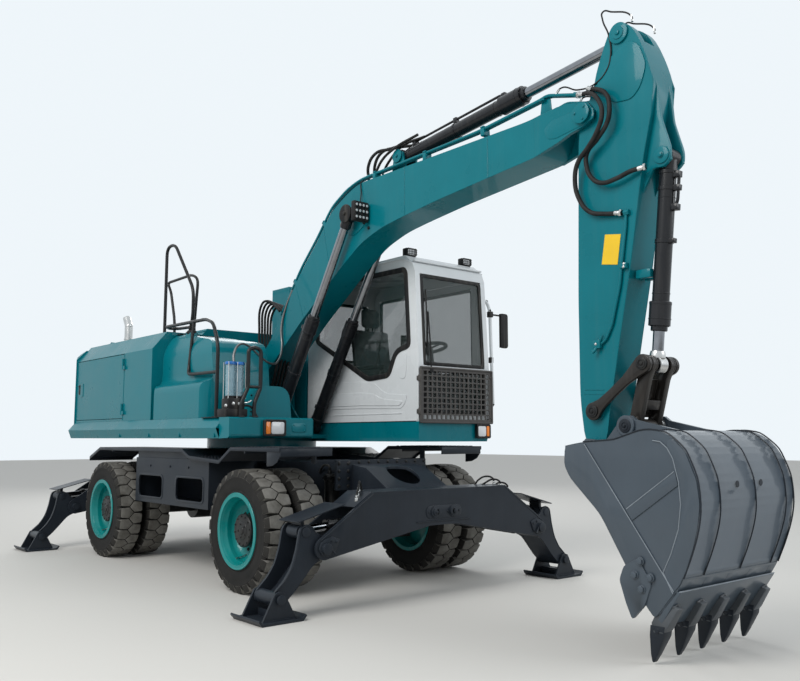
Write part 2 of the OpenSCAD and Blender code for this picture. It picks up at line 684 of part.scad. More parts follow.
module boom() {
  color("#0d7a84") {
    difference() {
      union() {
        plate_y(soft(BOOM_OUTLINE, 110), -boom_half, boom_half);
        both_sides() plate_y([[4120, 3700], [4330, 3722], [4420, 3720], [4610, 3675], [4655, 3610],
          [4640, 3550], [4590, 3515],
          [4450, 3490], [4330, 3450], [4120, 3400]], arm_half + 8, boom_half + 8);
        both_sides() rod_y(boom_tip[0], boom_tip[1], boom_half + 7, boom_half + 28, 60);
      }
      rod_y(boom_tip[0], boom_tip[1], -300, 300, 45 + fit_gap);
    }
    rod_y(pivot[0], pivot[1], -ear_half - 35, ear_half + 35, 50);
    both_sides() rod_y(lift_rod[0], lift_rod[1], boom_half - 1, lift_y - 40, 55);
    both_sides() plate_y([[arm_base[0] - 90, boom_top - 10], [arm_base[0] - 60, arm_base[1] + 30],
      [arm_base[0], arm_base[1] + 65],
      [arm_base[0] + 60, arm_base[1] + 30], [arm_base[0] + 110, boom_top - 10]], 62, 84);
    rod_y(arm_base[0], arm_base[1], -90, 90, 35);
  }
}

// A cylinder's barrel or rod, drawn along +X from its base eye
module strut_at(a, b, y) {
  d = b - a;
  translate([a[0], y, a[1]]) rotate([0, -atan2(d[1], d[0]), 0]) children();
}

module eye(x, half_w, r) {
  translate([x, half_w, 0]) rotate([90, 0, 0]) cylinder(h = 2 * half_w, r = r);
}

lift_len = norm(lift_rod - lift_base);
lift_barrel = 1230;

module boom_cylinder_barrels() {
  color("#1b1e22") for (s = [-1, 1]) strut_at(lift_base, lift_rod, s * lift_y) difference() {
    union() {
      eye(0, 36, 70);
      rotate([0, 90, 0]) cylinder(h = lift_barrel, r = 62);
      translate([lift_barrel - 140, 0, 0]) rotate([0, 90, 0]) cylinder(h = 140, r = 69);
    }
    translate([0, -70, 0]) rotate([-90, 0, 0]) cylinder(h = 140, r = 38 + fit_gap);
    translate([100, 0, 0]) rotate([0, 90, 0]) cylinder(h = lift_barrel, r = 40 + fit_gap);
  }
}

module boom_cylinder_rods() {
  color("#d5d8dc") for (s = [-1, 1]) strut_at(lift_base, lift_rod, s * lift_y) {
    translate([600, 0, 0]) rotate([0, 90, 0]) cylinder(h = lift_len - 610, r = 40);
    eye(lift_len, 35, 68);
  }
}

ARM_OUTLINE = [[4747, 4080], [4800, 4175], [4884, 4189], [4979, 4109], [5066, 3907], [5127, 3690],
  [5098, 3466],
  [5034, 3209], [4984, 2946], [4905, 2485], [4810, 2023], [4700, 1480], [4664, 1240],
  [4496, 1240], [4456, 1567], [4459, 2270], [4488, 3278], [4500, 3520], [4640, 3780], [4664, 3889]];

module arm() {
  color("#0d7a84") {
    difference() {
      union() {
        plate_y(soft(ARM_OUTLINE, 110), -arm_half, arm_half);
        rod_y(boom_tip[0], boom_tip[1], -arm_half, arm_half, 105);
        rod_y(arm_foot[0], arm_foot[1], -170, 170, 85);
        both_sides() plate_y([[4990, 3290], [5110, 3280], [5195, 3210], [5205, 3130], [5150, 3090],
          [5080, 3110], [4960, 2900]],
          60, 84);
      }
      // Slot for the arm cylinder's rod eye
      plate_y([[4540, 3790], [4700, 3800], [4960, 4010], [5100, 4010], [5100, 4300], [4540, 4300]], -58,
        58);
      rod_y(arm_foot[0], arm_foot[1], -300, 300, 45 + fit_gap);
      rod_y(rocker_pin[0], rocker_pin[1], -300, 300, 35 + fit_gap);
    }
    rod_y(boom_tip[0], boom_tip[1], -boom_half - 40, boom_half + 40, 45);
    both_sides() rod_y(arm_eye[0], arm_eye[1], arm_half - 1, arm_half + 22, 45);
    rod_y(curl_top[0], curl_top[1], -95, 95, 32);
  }
}

arm_cyl_len = norm(arm_eye - arm_base);
arm_barrel = 1460;

module arm_cylinder_barrel() {
  color("#1b1e22") strut_at(arm_base, arm_eye, 0) difference() {
    union() {
      eye(0, 52, 68);
      rotate([0, 90, 0]) cylinder(h = arm_barrel, r = 62);
      translate([arm_barrel - 220, 0, 0]) rotate([0, 90, 0]) cylinder(h = 220, r = 76);
    }
    translate([0, -70, 0]) rotate([-90, 0, 0]) cylinder(h = 140, r = 35 + fit_gap);
    translate([100, 0, 0]) rotate([0, 90, 0]) cylinder(h = arm_barrel, r = 42 + fit_gap);
  }
}

module arm_cylinder_rod() {
  color("#d5d8dc") strut_at(arm_base, arm_eye, 0) {
    translate([1000, 0, 0]) rotate([0, 90, 0]) cylinder(h = arm_cyl_len - 1010, r = 42);
    eye(arm_cyl_len, 45, 62);
  }
}

module rocker_links() {
  d = rocker_top - rocker_pin;
  len = norm(d);
  color("#2a2422") {
    for (s = [-1, 1]) translate([rocker_pin[0], s * 158, rocker_pin[1]]) rotate([0, -atan2(d[1], d[0]), 0])
      {
      eye(0, 16, 62);
      eye(len, 16, 62);
      translate([0, -16, -38]) cube([len, 32, 76]);
    }
    rod_y(rocker_pin[0], rocker_pin[1], -177, 177, 35);
    both_sides() rod_y(rocker_top[0], rocker_top[1], 52, 190, 34);
  }
}

module bucket_link() {
  d = link_pin - rocker_top;
  len = norm(d);
  color("#2a2422") translate([rocker_top[0], 0, rocker_top[1]]) rotate([0, -atan2(d[1], d[0]), 0]) {
    both_sides() difference() {
      union() {
        translate([0, 105, 0]) eye(0, 28, 60);
        translate([0, 77, -42]) cube([len, 56, 84]);
      }
      translate([0, 60, 0]) rotate([-90, 0, 0]) cylinder(h = 90, r = 34 + fit_gap);
    }
    eye(len, 168, 48);
    translate([len - 190, -80, -30]) cube([70, 160, 60]);
  }
}

curl_len = norm(rocker_top - curl_top);
curl_barrel = 1130;

module bucket_cylinder_barrel() {
  color("#1b1e22") strut_at(curl_top, rocker_top, 0) difference() {
    union() {
      eye(0, 50, 60);
      rotate([0, 90, 0]) cylinder(h = curl_barrel, r = 57);
      translate([curl_barrel - 150, 0, 0]) rotate([0, 90, 0]) cylinder(h = 150, r = 72);
    }
    translate([0, -70, 0]) rotate([-90, 0, 0]) cylinder(h = 140, r = 32 + fit_gap);
    translate([90, 0, 0]) rotate([0, 90, 0]) cylinder(h = curl_barrel, r = 38 + fit_gap);
  }
}

module bucket_cylinder_rod() {
  color("#d5d8dc") strut_at(curl_top, rocker_top, 0) {
    translate([300, 0, 0]) rotate([0, 90, 0]) cylinder(h = curl_len - 310, r = 38);
    eye(curl_len, 42, 60);
  }
}

BUCKET_OUT = [[4655, 1255], [4790, 1280], [5027, 1293], [5244, 1359], [5399, 1340], [5524, 1237],
  [5592, 1071],
  [5605, 933], [5566, 737], [5475, 507], [5407, 404]];
BUCKET_IN = [[5380, 412], [5445, 520], [5533, 745], [5571, 930], [5559, 1062], [5496, 1213], [5386, 1304],
  [5250, 1324], [5030, 1258], [4795, 1245], [4665, 1222]];
BUCKET_EDGE = [[5407, 404], [5284, 258], [5188, 380], [5095, 543], [4916, 837], [4688, 1050], [4642, 1131],
  [4655, 1255]];
tooth_count = 5;

// Adapter that grips the lip from both sides, and the tip on its nose
module tooth(y) {
  intersection() {
    plate_y([[5470, 500], [5446, 428], [5336, 284], [5316, 198], [5258, 198], [5264, 306], [5355, 424],
      [5420, 500]],
      y - 60, y + 60);
    plate_x([[y - 46, 560], [y - 46, 330], [y - 32, 190], [y + 32, 190], [y + 46, 330], [y + 46, 560]],
      5000, 5600);
  }
  intersection() {
    plate_y([[5322, 236], [5325, 205], [5252, 12], [5236, 12], [5247, 205], [5250, 236]], y - 60, y + 60);
    plate_x([[y - 43, 240], [y - 44, 200], [y - 20, 0], [y + 20, 0], [y + 44, 200], [y + 43, 240]], 5000,
      5600);
  }
}

module bucket() {
  color("#46566a") {
    difference() {
      plate_y(concat(soft_run(BUCKET_OUT, 120), soft_run(BUCKET_IN, 120)), -bucket_half + 1,
        bucket_half - 1);
      // Room for the arm's foot
      rod_y(arm_foot[0], arm_foot[1], -177, 177, 200);
    }
    both_sides() plate_y(concat(soft_run(BUCKET_OUT, 120), inner_points(soft_run(BUCKET_EDGE, 60))),
      bucket_half - 25,
      bucket_half);
    // Lip plate
    plate_y([[5478, 512], [5425, 425], [5310, 288], [5290, 300], [5380, 412], [5440, 515]],
      -bucket_half + 1,
      bucket_half - 1);
    for (i = [0 : tooth_count - 1]) tooth(-bucket_half + 47 + i * (2 * bucket_half - 94) / (tooth_count - 1));
    // Ears for the arm's and the link's pins
    both_sides() plate_y([[4700, 1262], [4620, 1295], [4555, 1300], [4505, 1255], [4500, 1195],
      [4545, 1145], [4610, 1140],
      [4700, 1180], [4800, 1250], [5300, 1345], [5100, 1390], [4960, 1420], [4920, 1450], [4860, 1450],
        [4820, 1400]], 178, 208);
    // Side cutters
    both_sides() plate_y(soft([[5090, 545], [5190, 602], [5278, 466], [5225, 330], [5141, 241],
      [5100, 330], [5057, 462]], 18, 2),
      bucket_half, bucket_half + 18);
    rod_y(arm_foot[0], arm_foot[1], -222, 222, 45);
    both_sides() rod_y(link_pin[0], link_pin[1], 177, 222, 50);
  }
}

chassis_frame();
axles();
driveshafts();
stabiliser_beams();
side_guards();
knuckle(-1);  // knuckle_right
knuckle(1);  // knuckle_left
tyres(front_axle_x, -1);  // tyres_front_right
rims(front_axle_x, -1);  // rims_front_right
tyres(front_axle_x, 1);  // tyres_front_left
rims(front_axle_x, 1);  // rims_front_left
tyres(rear_axle_x, -1);  // tyres_rear_right
rims(rear_axle_x, -1);  // rims_rear_right
tyres(rear_axle_x, 1);  // tyres_rear_left
rims(rear_axle_x, 1);  // rims_rear_left
leg(front_beam_x, -1);  // leg_front_right
leg(front_beam_x, 1);  // leg_front_left
leg(rear_beam_x, -1);  // leg_rear_right
leg(rear_beam_x, 1);  // leg_rear_left
pad(front_beam_x, -1);  // pad_front_right
pad(front_beam_x, 1);  // pad_front_left
pad(rear_beam_x, -1);  // pad_rear_right
pad(rear_beam_x, 1);  // pad_rear_left
leg_rod(front_beam_x, -1);  // leg_rod_front_right
leg_rod(front_beam_x, 1);  // leg_rod_front_left
leg_rod(rear_beam_x, -1);  // leg_rod_rear_right
leg_rod(rear_beam_x, 1);  // leg_rod_rear_left
deck_frame();
counterweight();
engine_hood();
hood_door();
engine_block();
side_boxes();
cab_shell();
cab_door();
cab_glass();
cab_guard();
operator_seat();
handrails();
exhaust();
grease_pump();
lamps_and_mirrors();
boom();
boom_cylinder_barrels();
boom_cylinder_rods();
arm();
arm_cylinder_barrel();
arm_cylinder_rod();
rocker_links();
bucket_link();
bucket_cylinder_barrel();
bucket_cylinder_rod();
bucket();
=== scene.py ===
import bpy
import json
import math
from mathutils import Matrix, Vector

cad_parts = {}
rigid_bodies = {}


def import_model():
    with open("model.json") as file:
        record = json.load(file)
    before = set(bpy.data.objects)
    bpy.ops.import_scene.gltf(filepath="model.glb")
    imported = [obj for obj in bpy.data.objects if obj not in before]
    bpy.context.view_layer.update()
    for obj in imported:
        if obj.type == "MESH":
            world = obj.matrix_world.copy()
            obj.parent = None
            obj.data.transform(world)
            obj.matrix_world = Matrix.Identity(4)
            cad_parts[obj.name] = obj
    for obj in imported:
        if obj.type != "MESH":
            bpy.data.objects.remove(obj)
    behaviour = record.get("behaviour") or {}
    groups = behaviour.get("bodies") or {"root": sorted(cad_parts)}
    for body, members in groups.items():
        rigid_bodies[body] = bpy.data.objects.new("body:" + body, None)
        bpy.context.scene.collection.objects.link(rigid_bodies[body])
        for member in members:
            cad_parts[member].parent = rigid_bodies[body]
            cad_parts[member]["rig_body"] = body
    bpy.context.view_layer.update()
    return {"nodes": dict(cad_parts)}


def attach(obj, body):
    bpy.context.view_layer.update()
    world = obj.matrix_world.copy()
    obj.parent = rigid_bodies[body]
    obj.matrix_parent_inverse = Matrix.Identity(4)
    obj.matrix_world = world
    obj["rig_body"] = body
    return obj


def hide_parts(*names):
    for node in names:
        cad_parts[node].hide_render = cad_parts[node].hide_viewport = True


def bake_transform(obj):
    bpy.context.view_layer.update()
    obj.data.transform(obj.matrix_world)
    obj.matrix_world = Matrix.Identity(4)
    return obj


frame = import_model()
print("stage: frame loaded")


def clearSelection():
    if bpy.context.object and bpy.context.object.mode != "OBJECT":
        bpy.ops.object.mode_set(mode="OBJECT")
    bpy.ops.object.select_all(action="DESELECT")


def pick(obs):
    clearSelection()
    for ob in obs:
        ob.select_set(True)
    bpy.context.view_layer.objects.active = obs[0]


def joinAll(obs, name):
    pick(obs)
    if len(obs) > 1:
        bpy.ops.object.join()
    ob = bpy.context.view_layer.objects.active
    ob.name = name
    ob.data.name = name
    return ob


def settle(ob):  # place, turn and size go into the mesh
    pick([ob])
    bpy.ops.object.transform_apply(location=True, rotation=True, scale=True)
    return ob


def shape(ob, kind, **values):  # add a modifier and apply it
    pick([ob])
    mod = ob.modifiers.new(kind.title(), kind)
    for key, value in values.items():
        setattr(mod, key, value)
    bpy.ops.object.modifier_apply(modifier=mod.name)
    return ob


def roundEdges(ob, width=0.003, segments=2, angle=35):
    return shape(ob, "BEVEL", width=width, segments=segments, limit_method="ANGLE", angle_limit=math.radians(angle),
        use_clamp_overlap=True)


def tidyShell(ob):
    pick([ob])
    bpy.ops.object.mode_set(mode="EDIT")
    bpy.ops.mesh.select_all(action="SELECT")
    bpy.ops.mesh.remove_doubles(threshold=0.00005)
    bpy.ops.mesh.dissolve_degenerate(threshold=0.00002)
    bpy.ops.mesh.normals_make_consistent(inside=False)
    bpy.ops.object.mode_set(mode="OBJECT")
    return ob


def along(axis, a, b, c):  # (a, b) in the plate's plane, c across it
    return {"x": (c, a, b), "y": (a, c, b), "z": (a, b, c)}[axis]


def plate(outline, low, high, axis="y", edge=0.003):  # a drawn outline pulled to a plate
    clearSelection()
    bpy.ops.mesh.primitive_circle_add(vertices=len(outline), fill_type="NGON")
    ob = bpy.context.object
    for vert, (a, b) in zip(ob.data.vertices, outline):
        vert.co = along(axis, a, b, low)
    bpy.ops.object.mode_set(mode="EDIT")
    bpy.ops.mesh.select_all(action="SELECT")
    bpy.ops.mesh.extrude_region_move(TRANSFORM_OT_translate={"value": along(axis, 0, 0, high - low)})
    bpy.ops.object.mode_set(mode="OBJECT")
    tidyShell(ob)
    if edge:
        roundEdges(ob, edge)
    return ob


def block(low, high, edge=0.003):
    return plate([(low[0], low[2]), (high[0], low[2]), (high[0], high[2]), (low[0], high[2])], low[1], high[1], "y",
        edge)


def turned(profile, at, axis="y", steps=32, edge=0):  # profile of (radius, height) spun round an axis
    clearSelection()
    bpy.ops.mesh.primitive_circle_add(vertices=len(profile), fill_type="NOTHING")
    ob = bpy.context.object
    for vert, (r, h) in zip(ob.data.vertices, profile):
        vert.co = Vector(along(axis, r, 0, h)) + Vector(at)
    bpy.ops.object.mode_set(mode="EDIT")
    bpy.ops.mesh.select_all(action="SELECT")
    bpy.ops.mesh.spin(steps=steps, angle=math.tau, center=at, axis=along(axis, 0, 0, 1))
    bpy.ops.object.mode_set(mode="OBJECT")
    tidyShell(ob)
    if edge:
        roundEdges(ob, edge)
    return ob


def disc(at, r, height, axis="y", steps=32, edge=0.002):
    low = min(0, height)
    high = max(0, height)
    return turned([(0, low), (r, low), (r, high), (0, high)], at, axis, steps, edge)


def smoothPath(points, bend, steps=6):  # straight runs joined by round bends
    out = [Vector(points[0])]
    for before, corner, after in zip(points, points[1:], points[2:]):
        a, c, b = Vector(before), Vector(corner), Vector(after)
        r = min(bend, (a - c).length * 0.48, (b - c).length * 0.48)
        start = c + (a - c).normalized() * r
        end = c + (b - c).normalized() * r
        for i in range(steps + 1):
            t = i / steps
            out.append(start * (1 - t) ** 2 + c * 2 * t * (1 - t) + end * t ** 2)
    out.append(Vector(points[-1]))
    return out


def tube(points, r, bend=0.06, soft=False, sides=4, steps=6):  # pipe with bends, or a soft hose through the points
    curve = bpy.data.curves.new("tube", "CURVE")
    curve.dimensions = "3D"
    curve.bevel_depth = r
    curve.bevel_resolution = sides
    curve.use_fill_caps = True
    if soft:
        spline = curve.splines.new("BEZIER")
        spline.bezier_points.add(len(points) - 1)
        for knot, p in zip(spline.bezier_points, points):
            knot.co = p
            knot.handle_left_type = knot.handle_right_type = "AUTO"
        curve.resolution_u = 10
    else:
        run = smoothPath(points, bend, steps)
        spline = curve.splines.new("POLY")
        spline.points.add(len(run) - 1)
        for knot, p in zip(spline.points, run):
            knot.co = (*p, 1)
    ob = bpy.data.objects.new("tube", curve)
    bpy.context.scene.collection.objects.link(ob)
    pick([ob])
    bpy.ops.object.convert(target="MESH")
    return bpy.context.object


def turnTo(direction):
    return Vector(direction).to_track_quat("Z", "Y").to_matrix().to_4x4()


def copyAt(ob, matrix):
    twin = ob.copy()
    twin.data = ob.data.copy()
    bpy.context.scene.collection.objects.link(twin)
    twin.data.transform(matrix)
    return twin


def erase(ob):
    bpy.data.objects.remove(ob, do_unlink=True)


def hexBolt(size):  # head on a washer, along +Z from z 0
    head = disc((0, 0, 0), size * 1.15, size * 0.22, "z", 16, size * 0.05)
    clearSelection()
    bpy.ops.mesh.primitive_cylinder_add(vertices=6, radius=size * 0.92, depth=size * 0.62,
        location=(0, 0, size * 0.5))
    nut = settle(bpy.context.object)
    roundEdges(nut, size * 0.09, 2)
    return joinAll([head, nut], "bolt")


def bolts(places, direction, size):
    master = hexBolt(size)
    out = [copyAt(master, Matrix.Translation(p) @ turnTo(direction)) for p in places]
    erase(master)
    return out


def mirrored(ob):  # twin on the other side of the machine
    twin = copyAt(ob, Matrix.Scale(-1, 4, (0, 1, 0)))
    pick([twin])
    bpy.ops.object.mode_set(mode="EDIT")
    bpy.ops.mesh.select_all(action="SELECT")
    bpy.ops.mesh.flip_normals()
    bpy.ops.object.mode_set(mode="OBJECT")
    return twin


def dress(obs, name, look, angle):  # the pieces as one named object in its material
    ob = joinAll(obs if isinstance(obs, list) else [obs], name)
    bpy.ops.object.shade_smooth_by_angle(angle=math.radians(angle))
    ob.data.materials.clear()
    ob.data.materials.append(mats[look])
    return ob


def finish(obs, name, body, look, slotName="", angle=35):  # rides on one body
    ob = dress(obs, name, look, angle)
    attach(ob, body)
    return ob


def newGroup(name, inputs, outputs):
    group = bpy.data.node_groups.new(name, "ShaderNodeTree")
    for label, kind, value in inputs:
        socket = group.interface.new_socket(name=label, in_out="INPUT", socket_type="NodeSocket" + kind)
        if value is not None:
            socket.default_value = value
    for label, kind in outputs:
        group.interface.new_socket(name=label, in_out="OUTPUT", socket_type="NodeSocket" + kind)
    start = group.nodes.new("NodeGroupInput")
    end = group.nodes.new("NodeGroupOutput")
    return group, start, end


def link(tree, a, b):
    tree.links.new(a, b)


def mathNode(tree, operation, a, b=None, clamp=False):
    node = tree.nodes.new("ShaderNodeMath")
    node.operation = operation
    node.use_clamp = clamp
    for i, value in enumerate((a, b)):
        if value is None:
            continue
        if isinstance(value, (int, float)):
            node.inputs[i].default_value = value
        else:
            link(tree, value, node.inputs[i])
    return node.outputs[0]


def noiseNode(tree, vector, scale, detail=3, rough=0.55):
    node = tree.nodes.new("ShaderNodeTexNoise")
    node.inputs["Detail"].default_value = detail
    node.inputs["Roughness"].default_value = rough
    if isinstance(scale, (int, float)):
        node.inputs["Scale"].default_value = scale
    else:
        link(tree, scale, node.inputs["Scale"])
    link(tree, vector, node.inputs["Vector"])
    return node.outputs["Fac"]


def spread(tree, value, low, high, outLow=0.0, outHigh=1.0):
    node = tree.nodes.new("ShaderNodeMapRange")
    node.clamp = True
    link(tree, value, node.inputs["Value"])
    for key, v in (("From Min", low), ("From Max", high), ("To Min", outLow), ("To Max", outHigh)):
        if isinstance(v, (int, float)):
            node.inputs[key].default_value = v
        else:
            link(tree, v, node.inputs[key])
    return node.outputs["Result"]


def mixColor(tree, fac, a, b, mode="MIX"):
    node = tree.nodes.new("ShaderNodeMix")
    node.data_type = "RGBA"
    node.blend_type = mode
    for socket, value in ((node.inputs[0], fac), (node.inputs[6], a), (node.inputs[7], b)):
        if isinstance(value, (int, float)):
            socket.default_value = value
        elif isinstance(value, (tuple, list)):
            socket.default_value = (*value[:3], 1)
        else:
            link(tree, value, socket)
    return node.outputs[2]


def buildEdgeWearAndHighlight():  # edges worn and lit: where the softened normal leaves the true one, a lighter edge colour stands for wear and for a painted highlight along the edge
    group, start, end = newGroup("edgeWearAndHighlight", [("Radius", "Float", 0.006), ("Amount", "Float", 0.5),
        ("Scale", "Float", 14.0)], [("Mask", "Float"), ("Normal", "Vector")])
    bevel = group.nodes.new("ShaderNodeBevel")
    bevel.samples = 4
    link(group, start.outputs["Radius"], bevel.inputs["Radius"])
    geometry = group.nodes.new("ShaderNodeNewGeometry")
    dot = group.nodes.new("ShaderNodeVectorMath")
    dot.operation = "DOT_PRODUCT"
    link(group, bevel.outputs[0], dot.inputs[0])
    link(group, geometry.outputs["Normal"], dot.inputs[1])
    coords = group.nodes.new("ShaderNodeTexCoord")
    speckle = noiseNode(group, coords.outputs["Object"], start.outputs["Scale"], 6, 0.7)
    edgeBend = mathNode(group, "SUBTRACT", 1.0, dot.outputs["Value"])
    edge = mathNode(group, "MULTIPLY", spread(group, edgeBend, 0.02, 0.2), spread(group, speckle, 0.42, 0.62))
    link(group, mathNode(group, "MULTIPLY", edge, start.outputs["Amount"], True), end.inputs["Mask"])
    link(group, bevel.outputs[0], end.inputs["Normal"])
    return group


def buildDust():  # dust that lies on upward faces and gathers low down
    group, start, end = newGroup("dustFall", [("Amount", "Float", 0.3), ("Scale", "Float", 5.0),
        ("Low", "Float", 0.0), ("High", "Float", 1.2)],
        [("Mask", "Float"), ("Streaks", "Float")])
    coords = group.nodes.new("ShaderNodeTexCoord")
    parts = group.nodes.new("ShaderNodeSeparateXYZ")
    link(group, coords.outputs["Object"], parts.inputs[0])
    geometry = group.nodes.new("ShaderNodeNewGeometry")
    facing = group.nodes.new("ShaderNodeSeparateXYZ")
    link(group, geometry.outputs["Normal"], facing.inputs[0])
    up = spread(group, facing.outputs["Z"], 0.3, 1.0, 0.0, 0.8)
    low = spread(group, parts.outputs["Z"], start.outputs["High"], start.outputs["Low"], 0.0, 0.8)
    cloud = spread(group, noiseNode(group, coords.outputs["Object"], start.outputs["Scale"], 6, 0.65), 0.35, 0.72)
    both = mathNode(group, "MULTIPLY", mathNode(group, "ADD", up, low, True), cloud)
    link(group, mathNode(group, "MULTIPLY", both, start.outputs["Amount"], True), end.inputs["Mask"])
    stretch = group.nodes.new("ShaderNodeMapping")
    stretch.inputs["Scale"].default_value = (22, 22, 1.3)
    link(group, coords.outputs["Object"], stretch.inputs["Vector"])
    link(group, spread(group, noiseNode(group, stretch.outputs[0], 1.0, 5, 0.6), 0.5, 0.75), end.inputs["Streaks"])
    return group


def buildPeel():  # fine unevenness of sprayed paint on welded plate
    group, start, end = newGroup("sprayPeel", [("Fine", "Float", 260.0), ("Broad", "Float", 3.0)],
        [("Height", "Float"), ("Tone", "Float")])
    coords = group.nodes.new("ShaderNodeTexCoord")
    fine = noiseNode(group, coords.outputs["Object"], start.outputs["Fine"], 2, 0.5)
    broad = noiseNode(group, coords.outputs["Object"], start.outputs["Broad"], 4, 0.55)
    link(group, mathNode(group, "ADD", mathNode(group, "MULTIPLY", fine, 0.25), broad), end.inputs["Height"])
    link(group, broad, end.inputs["Tone"])
    return group


edgeWearAndHighlightGroup = buildEdgeWearAndHighlight()
dustGroup = buildDust()
peelGroup = buildPeel()


def groupNode(tree, group, **values):
    node = tree.nodes.new("ShaderNodeGroup")
    node.node_tree = group
    for key, value in values.items():
        node.inputs[key].default_value = value
    return node


def newMaterial(name):
    material = bpy.data.materials.new(name)
    material.use_nodes = True
    return material, material.node_tree, material.node_tree.nodes["Principled BSDF"]


def paint(name, color, rough=0.32, coat=0.5, shade=0.82, metallic=0.0, edgeWearAndHighlightAmount=0.35, edgeWearAndHighlightColor=(0.35, 0.34, 0.32),
        dust=0.2, dustColor=(0.36, 0.33, 0.28), radius=0.005, bump=0.05, top=1.3, gloss=0.2):
    material, tree, skin = newMaterial(name)
    peel = groupNode(tree, peelGroup)
    edge = groupNode(tree, edgeWearAndHighlightGroup, Radius=radius, Amount=edgeWearAndHighlightAmount)
    dirt = groupNode(tree, dustGroup, Amount=dust, High=top)
    tone = mixColor(tree, spread(tree, peel.outputs["Tone"], 0.35, 0.68), [c * shade for c in color], color)
    streaked = mixColor(tree, mathNode(tree, "MULTIPLY", dirt.outputs["Streaks"], 0.18 * dust / 0.2), tone, dustColor)
    dusty = mixColor(tree, dirt.outputs["Mask"], streaked, dustColor)
    # edges take the edge colour: partly wear, partly a painted highlight
    link(tree, mixColor(tree, edge.outputs["Mask"], dusty, edgeWearAndHighlightColor), skin.inputs["Base Color"])
    grime = mathNode(tree, "ADD", mathNode(tree, "MULTIPLY", dirt.outputs["Mask"], 0.45),
        mathNode(tree, "MULTIPLY", edge.outputs["Mask"], 0.2))
    tint = spread(tree, peel.outputs["Tone"], 0.3, 0.7, rough * 0.8, rough * 1.3)
    link(tree, mathNode(tree, "ADD", tint, grime, True), skin.inputs["Roughness"])
    skin.inputs["Metallic"].default_value = metallic
    skin.inputs["Coat Weight"].default_value = coat
    skin.inputs["Coat Roughness"].default_value = 0.06
    skin.inputs["Specular IOR Level"].default_value = gloss
    relief = tree.nodes.new("ShaderNodeBump")
    relief.inputs["Strength"].default_value = bump
    relief.inputs["Distance"].default_value = 0.004
    link(tree, peel.outputs["Height"], relief.inputs["Height"])
    link(tree, edge.outputs["Normal"], relief.inputs["Normal"])
    link(tree, relief.outputs["Normal"], skin.inputs["Normal"])
    return material


def rubber(name, color, worn, scale=30.0, rough=0.75, shadedFlank=None):
    material, tree, skin = newMaterial(name)
    coords = tree.nodes.new("ShaderNodeTexCoord")
    patches = noiseNode(tree, coords.outputs["Object"], scale / 5, 6, 0.7)
    grain = noiseNode(tree, coords.outputs["Object"], scale * 6, 3, 0.6)
    edge = groupNode(tree, edgeWearAndHighlightGroup, Radius=0.006, Amount=0.55, Scale=9.0)
    base = mixColor(tree, spread(tree, patches, 0.38, 0.66), color, worn)
    if shadedFlank:  # running face painted light for dust and for the sky light on it, sides facing along the axle painted dark as shade
        split = tree.nodes.new("ShaderNodeSeparateXYZ")
        link(tree, coords.outputs["Normal"], split.inputs["Vector"])
        base = mixColor(tree, spread(tree, mathNode(tree, "ABSOLUTE", split.outputs["Y"]), 0.3, 0.7), base, shadedFlank)
    skin.inputs["Specular IOR Level"].default_value = 0.18
    # edges take a lighter tone of the worn colour: partly wear, partly a painted highlight
    link(tree, mixColor(tree, edge.outputs["Mask"], base, [min(1, c * 1.7) for c in worn]), skin.inputs["Base Color"])
    link(tree, spread(tree, patches, 0.3, 0.7, rough - 0.1, rough + 0.12), skin.inputs["Roughness"])
    relief = tree.nodes.new("ShaderNodeBump")
    relief.inputs["Strength"].default_value = 0.25
    relief.inputs["Distance"].default_value = 0.002
    link(tree, grain, relief.inputs["Height"])
    link(tree, edge.outputs["Normal"], relief.inputs["Normal"])
    link(tree, relief.outputs["Normal"], skin.inputs["Normal"])
    return material


def bareMetal(name, color, rough=0.2, scale=60.0, worn=0.5):
    material, tree, skin = newMaterial(name)
    coords = tree.nodes.new("ShaderNodeTexCoord")
    fine = noiseNode(tree, coords.outputs["Object"], scale, 4, 0.6)
    link(tree, mixColor(tree, spread(tree, fine, 0.3, 0.7), [c * worn for c in color], color),
        skin.inputs["Base Color"])
    link(tree, spread(tree, fine, 0.3, 0.7, rough * 0.7, rough * 1.5), skin.inputs["Roughness"])
    skin.inputs["Metallic"].default_value = 1.0
    return material


def glassSheet(name, color, alpha, rough=0.03):
    material, tree, skin = newMaterial(name)
    coords = tree.nodes.new("ShaderNodeTexCoord")
    cloud = noiseNode(tree, coords.outputs["Object"], 2.5, 4, 0.6)
    link(tree, mixColor(tree, spread(tree, cloud, 0.35, 0.7), [c * 0.8 for c in color], color),
        skin.inputs["Base Color"])
    link(tree, spread(tree, cloud, 0.35, 0.7, rough, rough + 0.05), skin.inputs["Roughness"])
    skin.inputs["Alpha"].default_value = alpha
    skin.inputs["IOR"].default_value = 1.5
    skin.inputs["Coat Weight"].default_value = 0.6
    skin.inputs["Coat Roughness"].default_value = 0.02
    return material


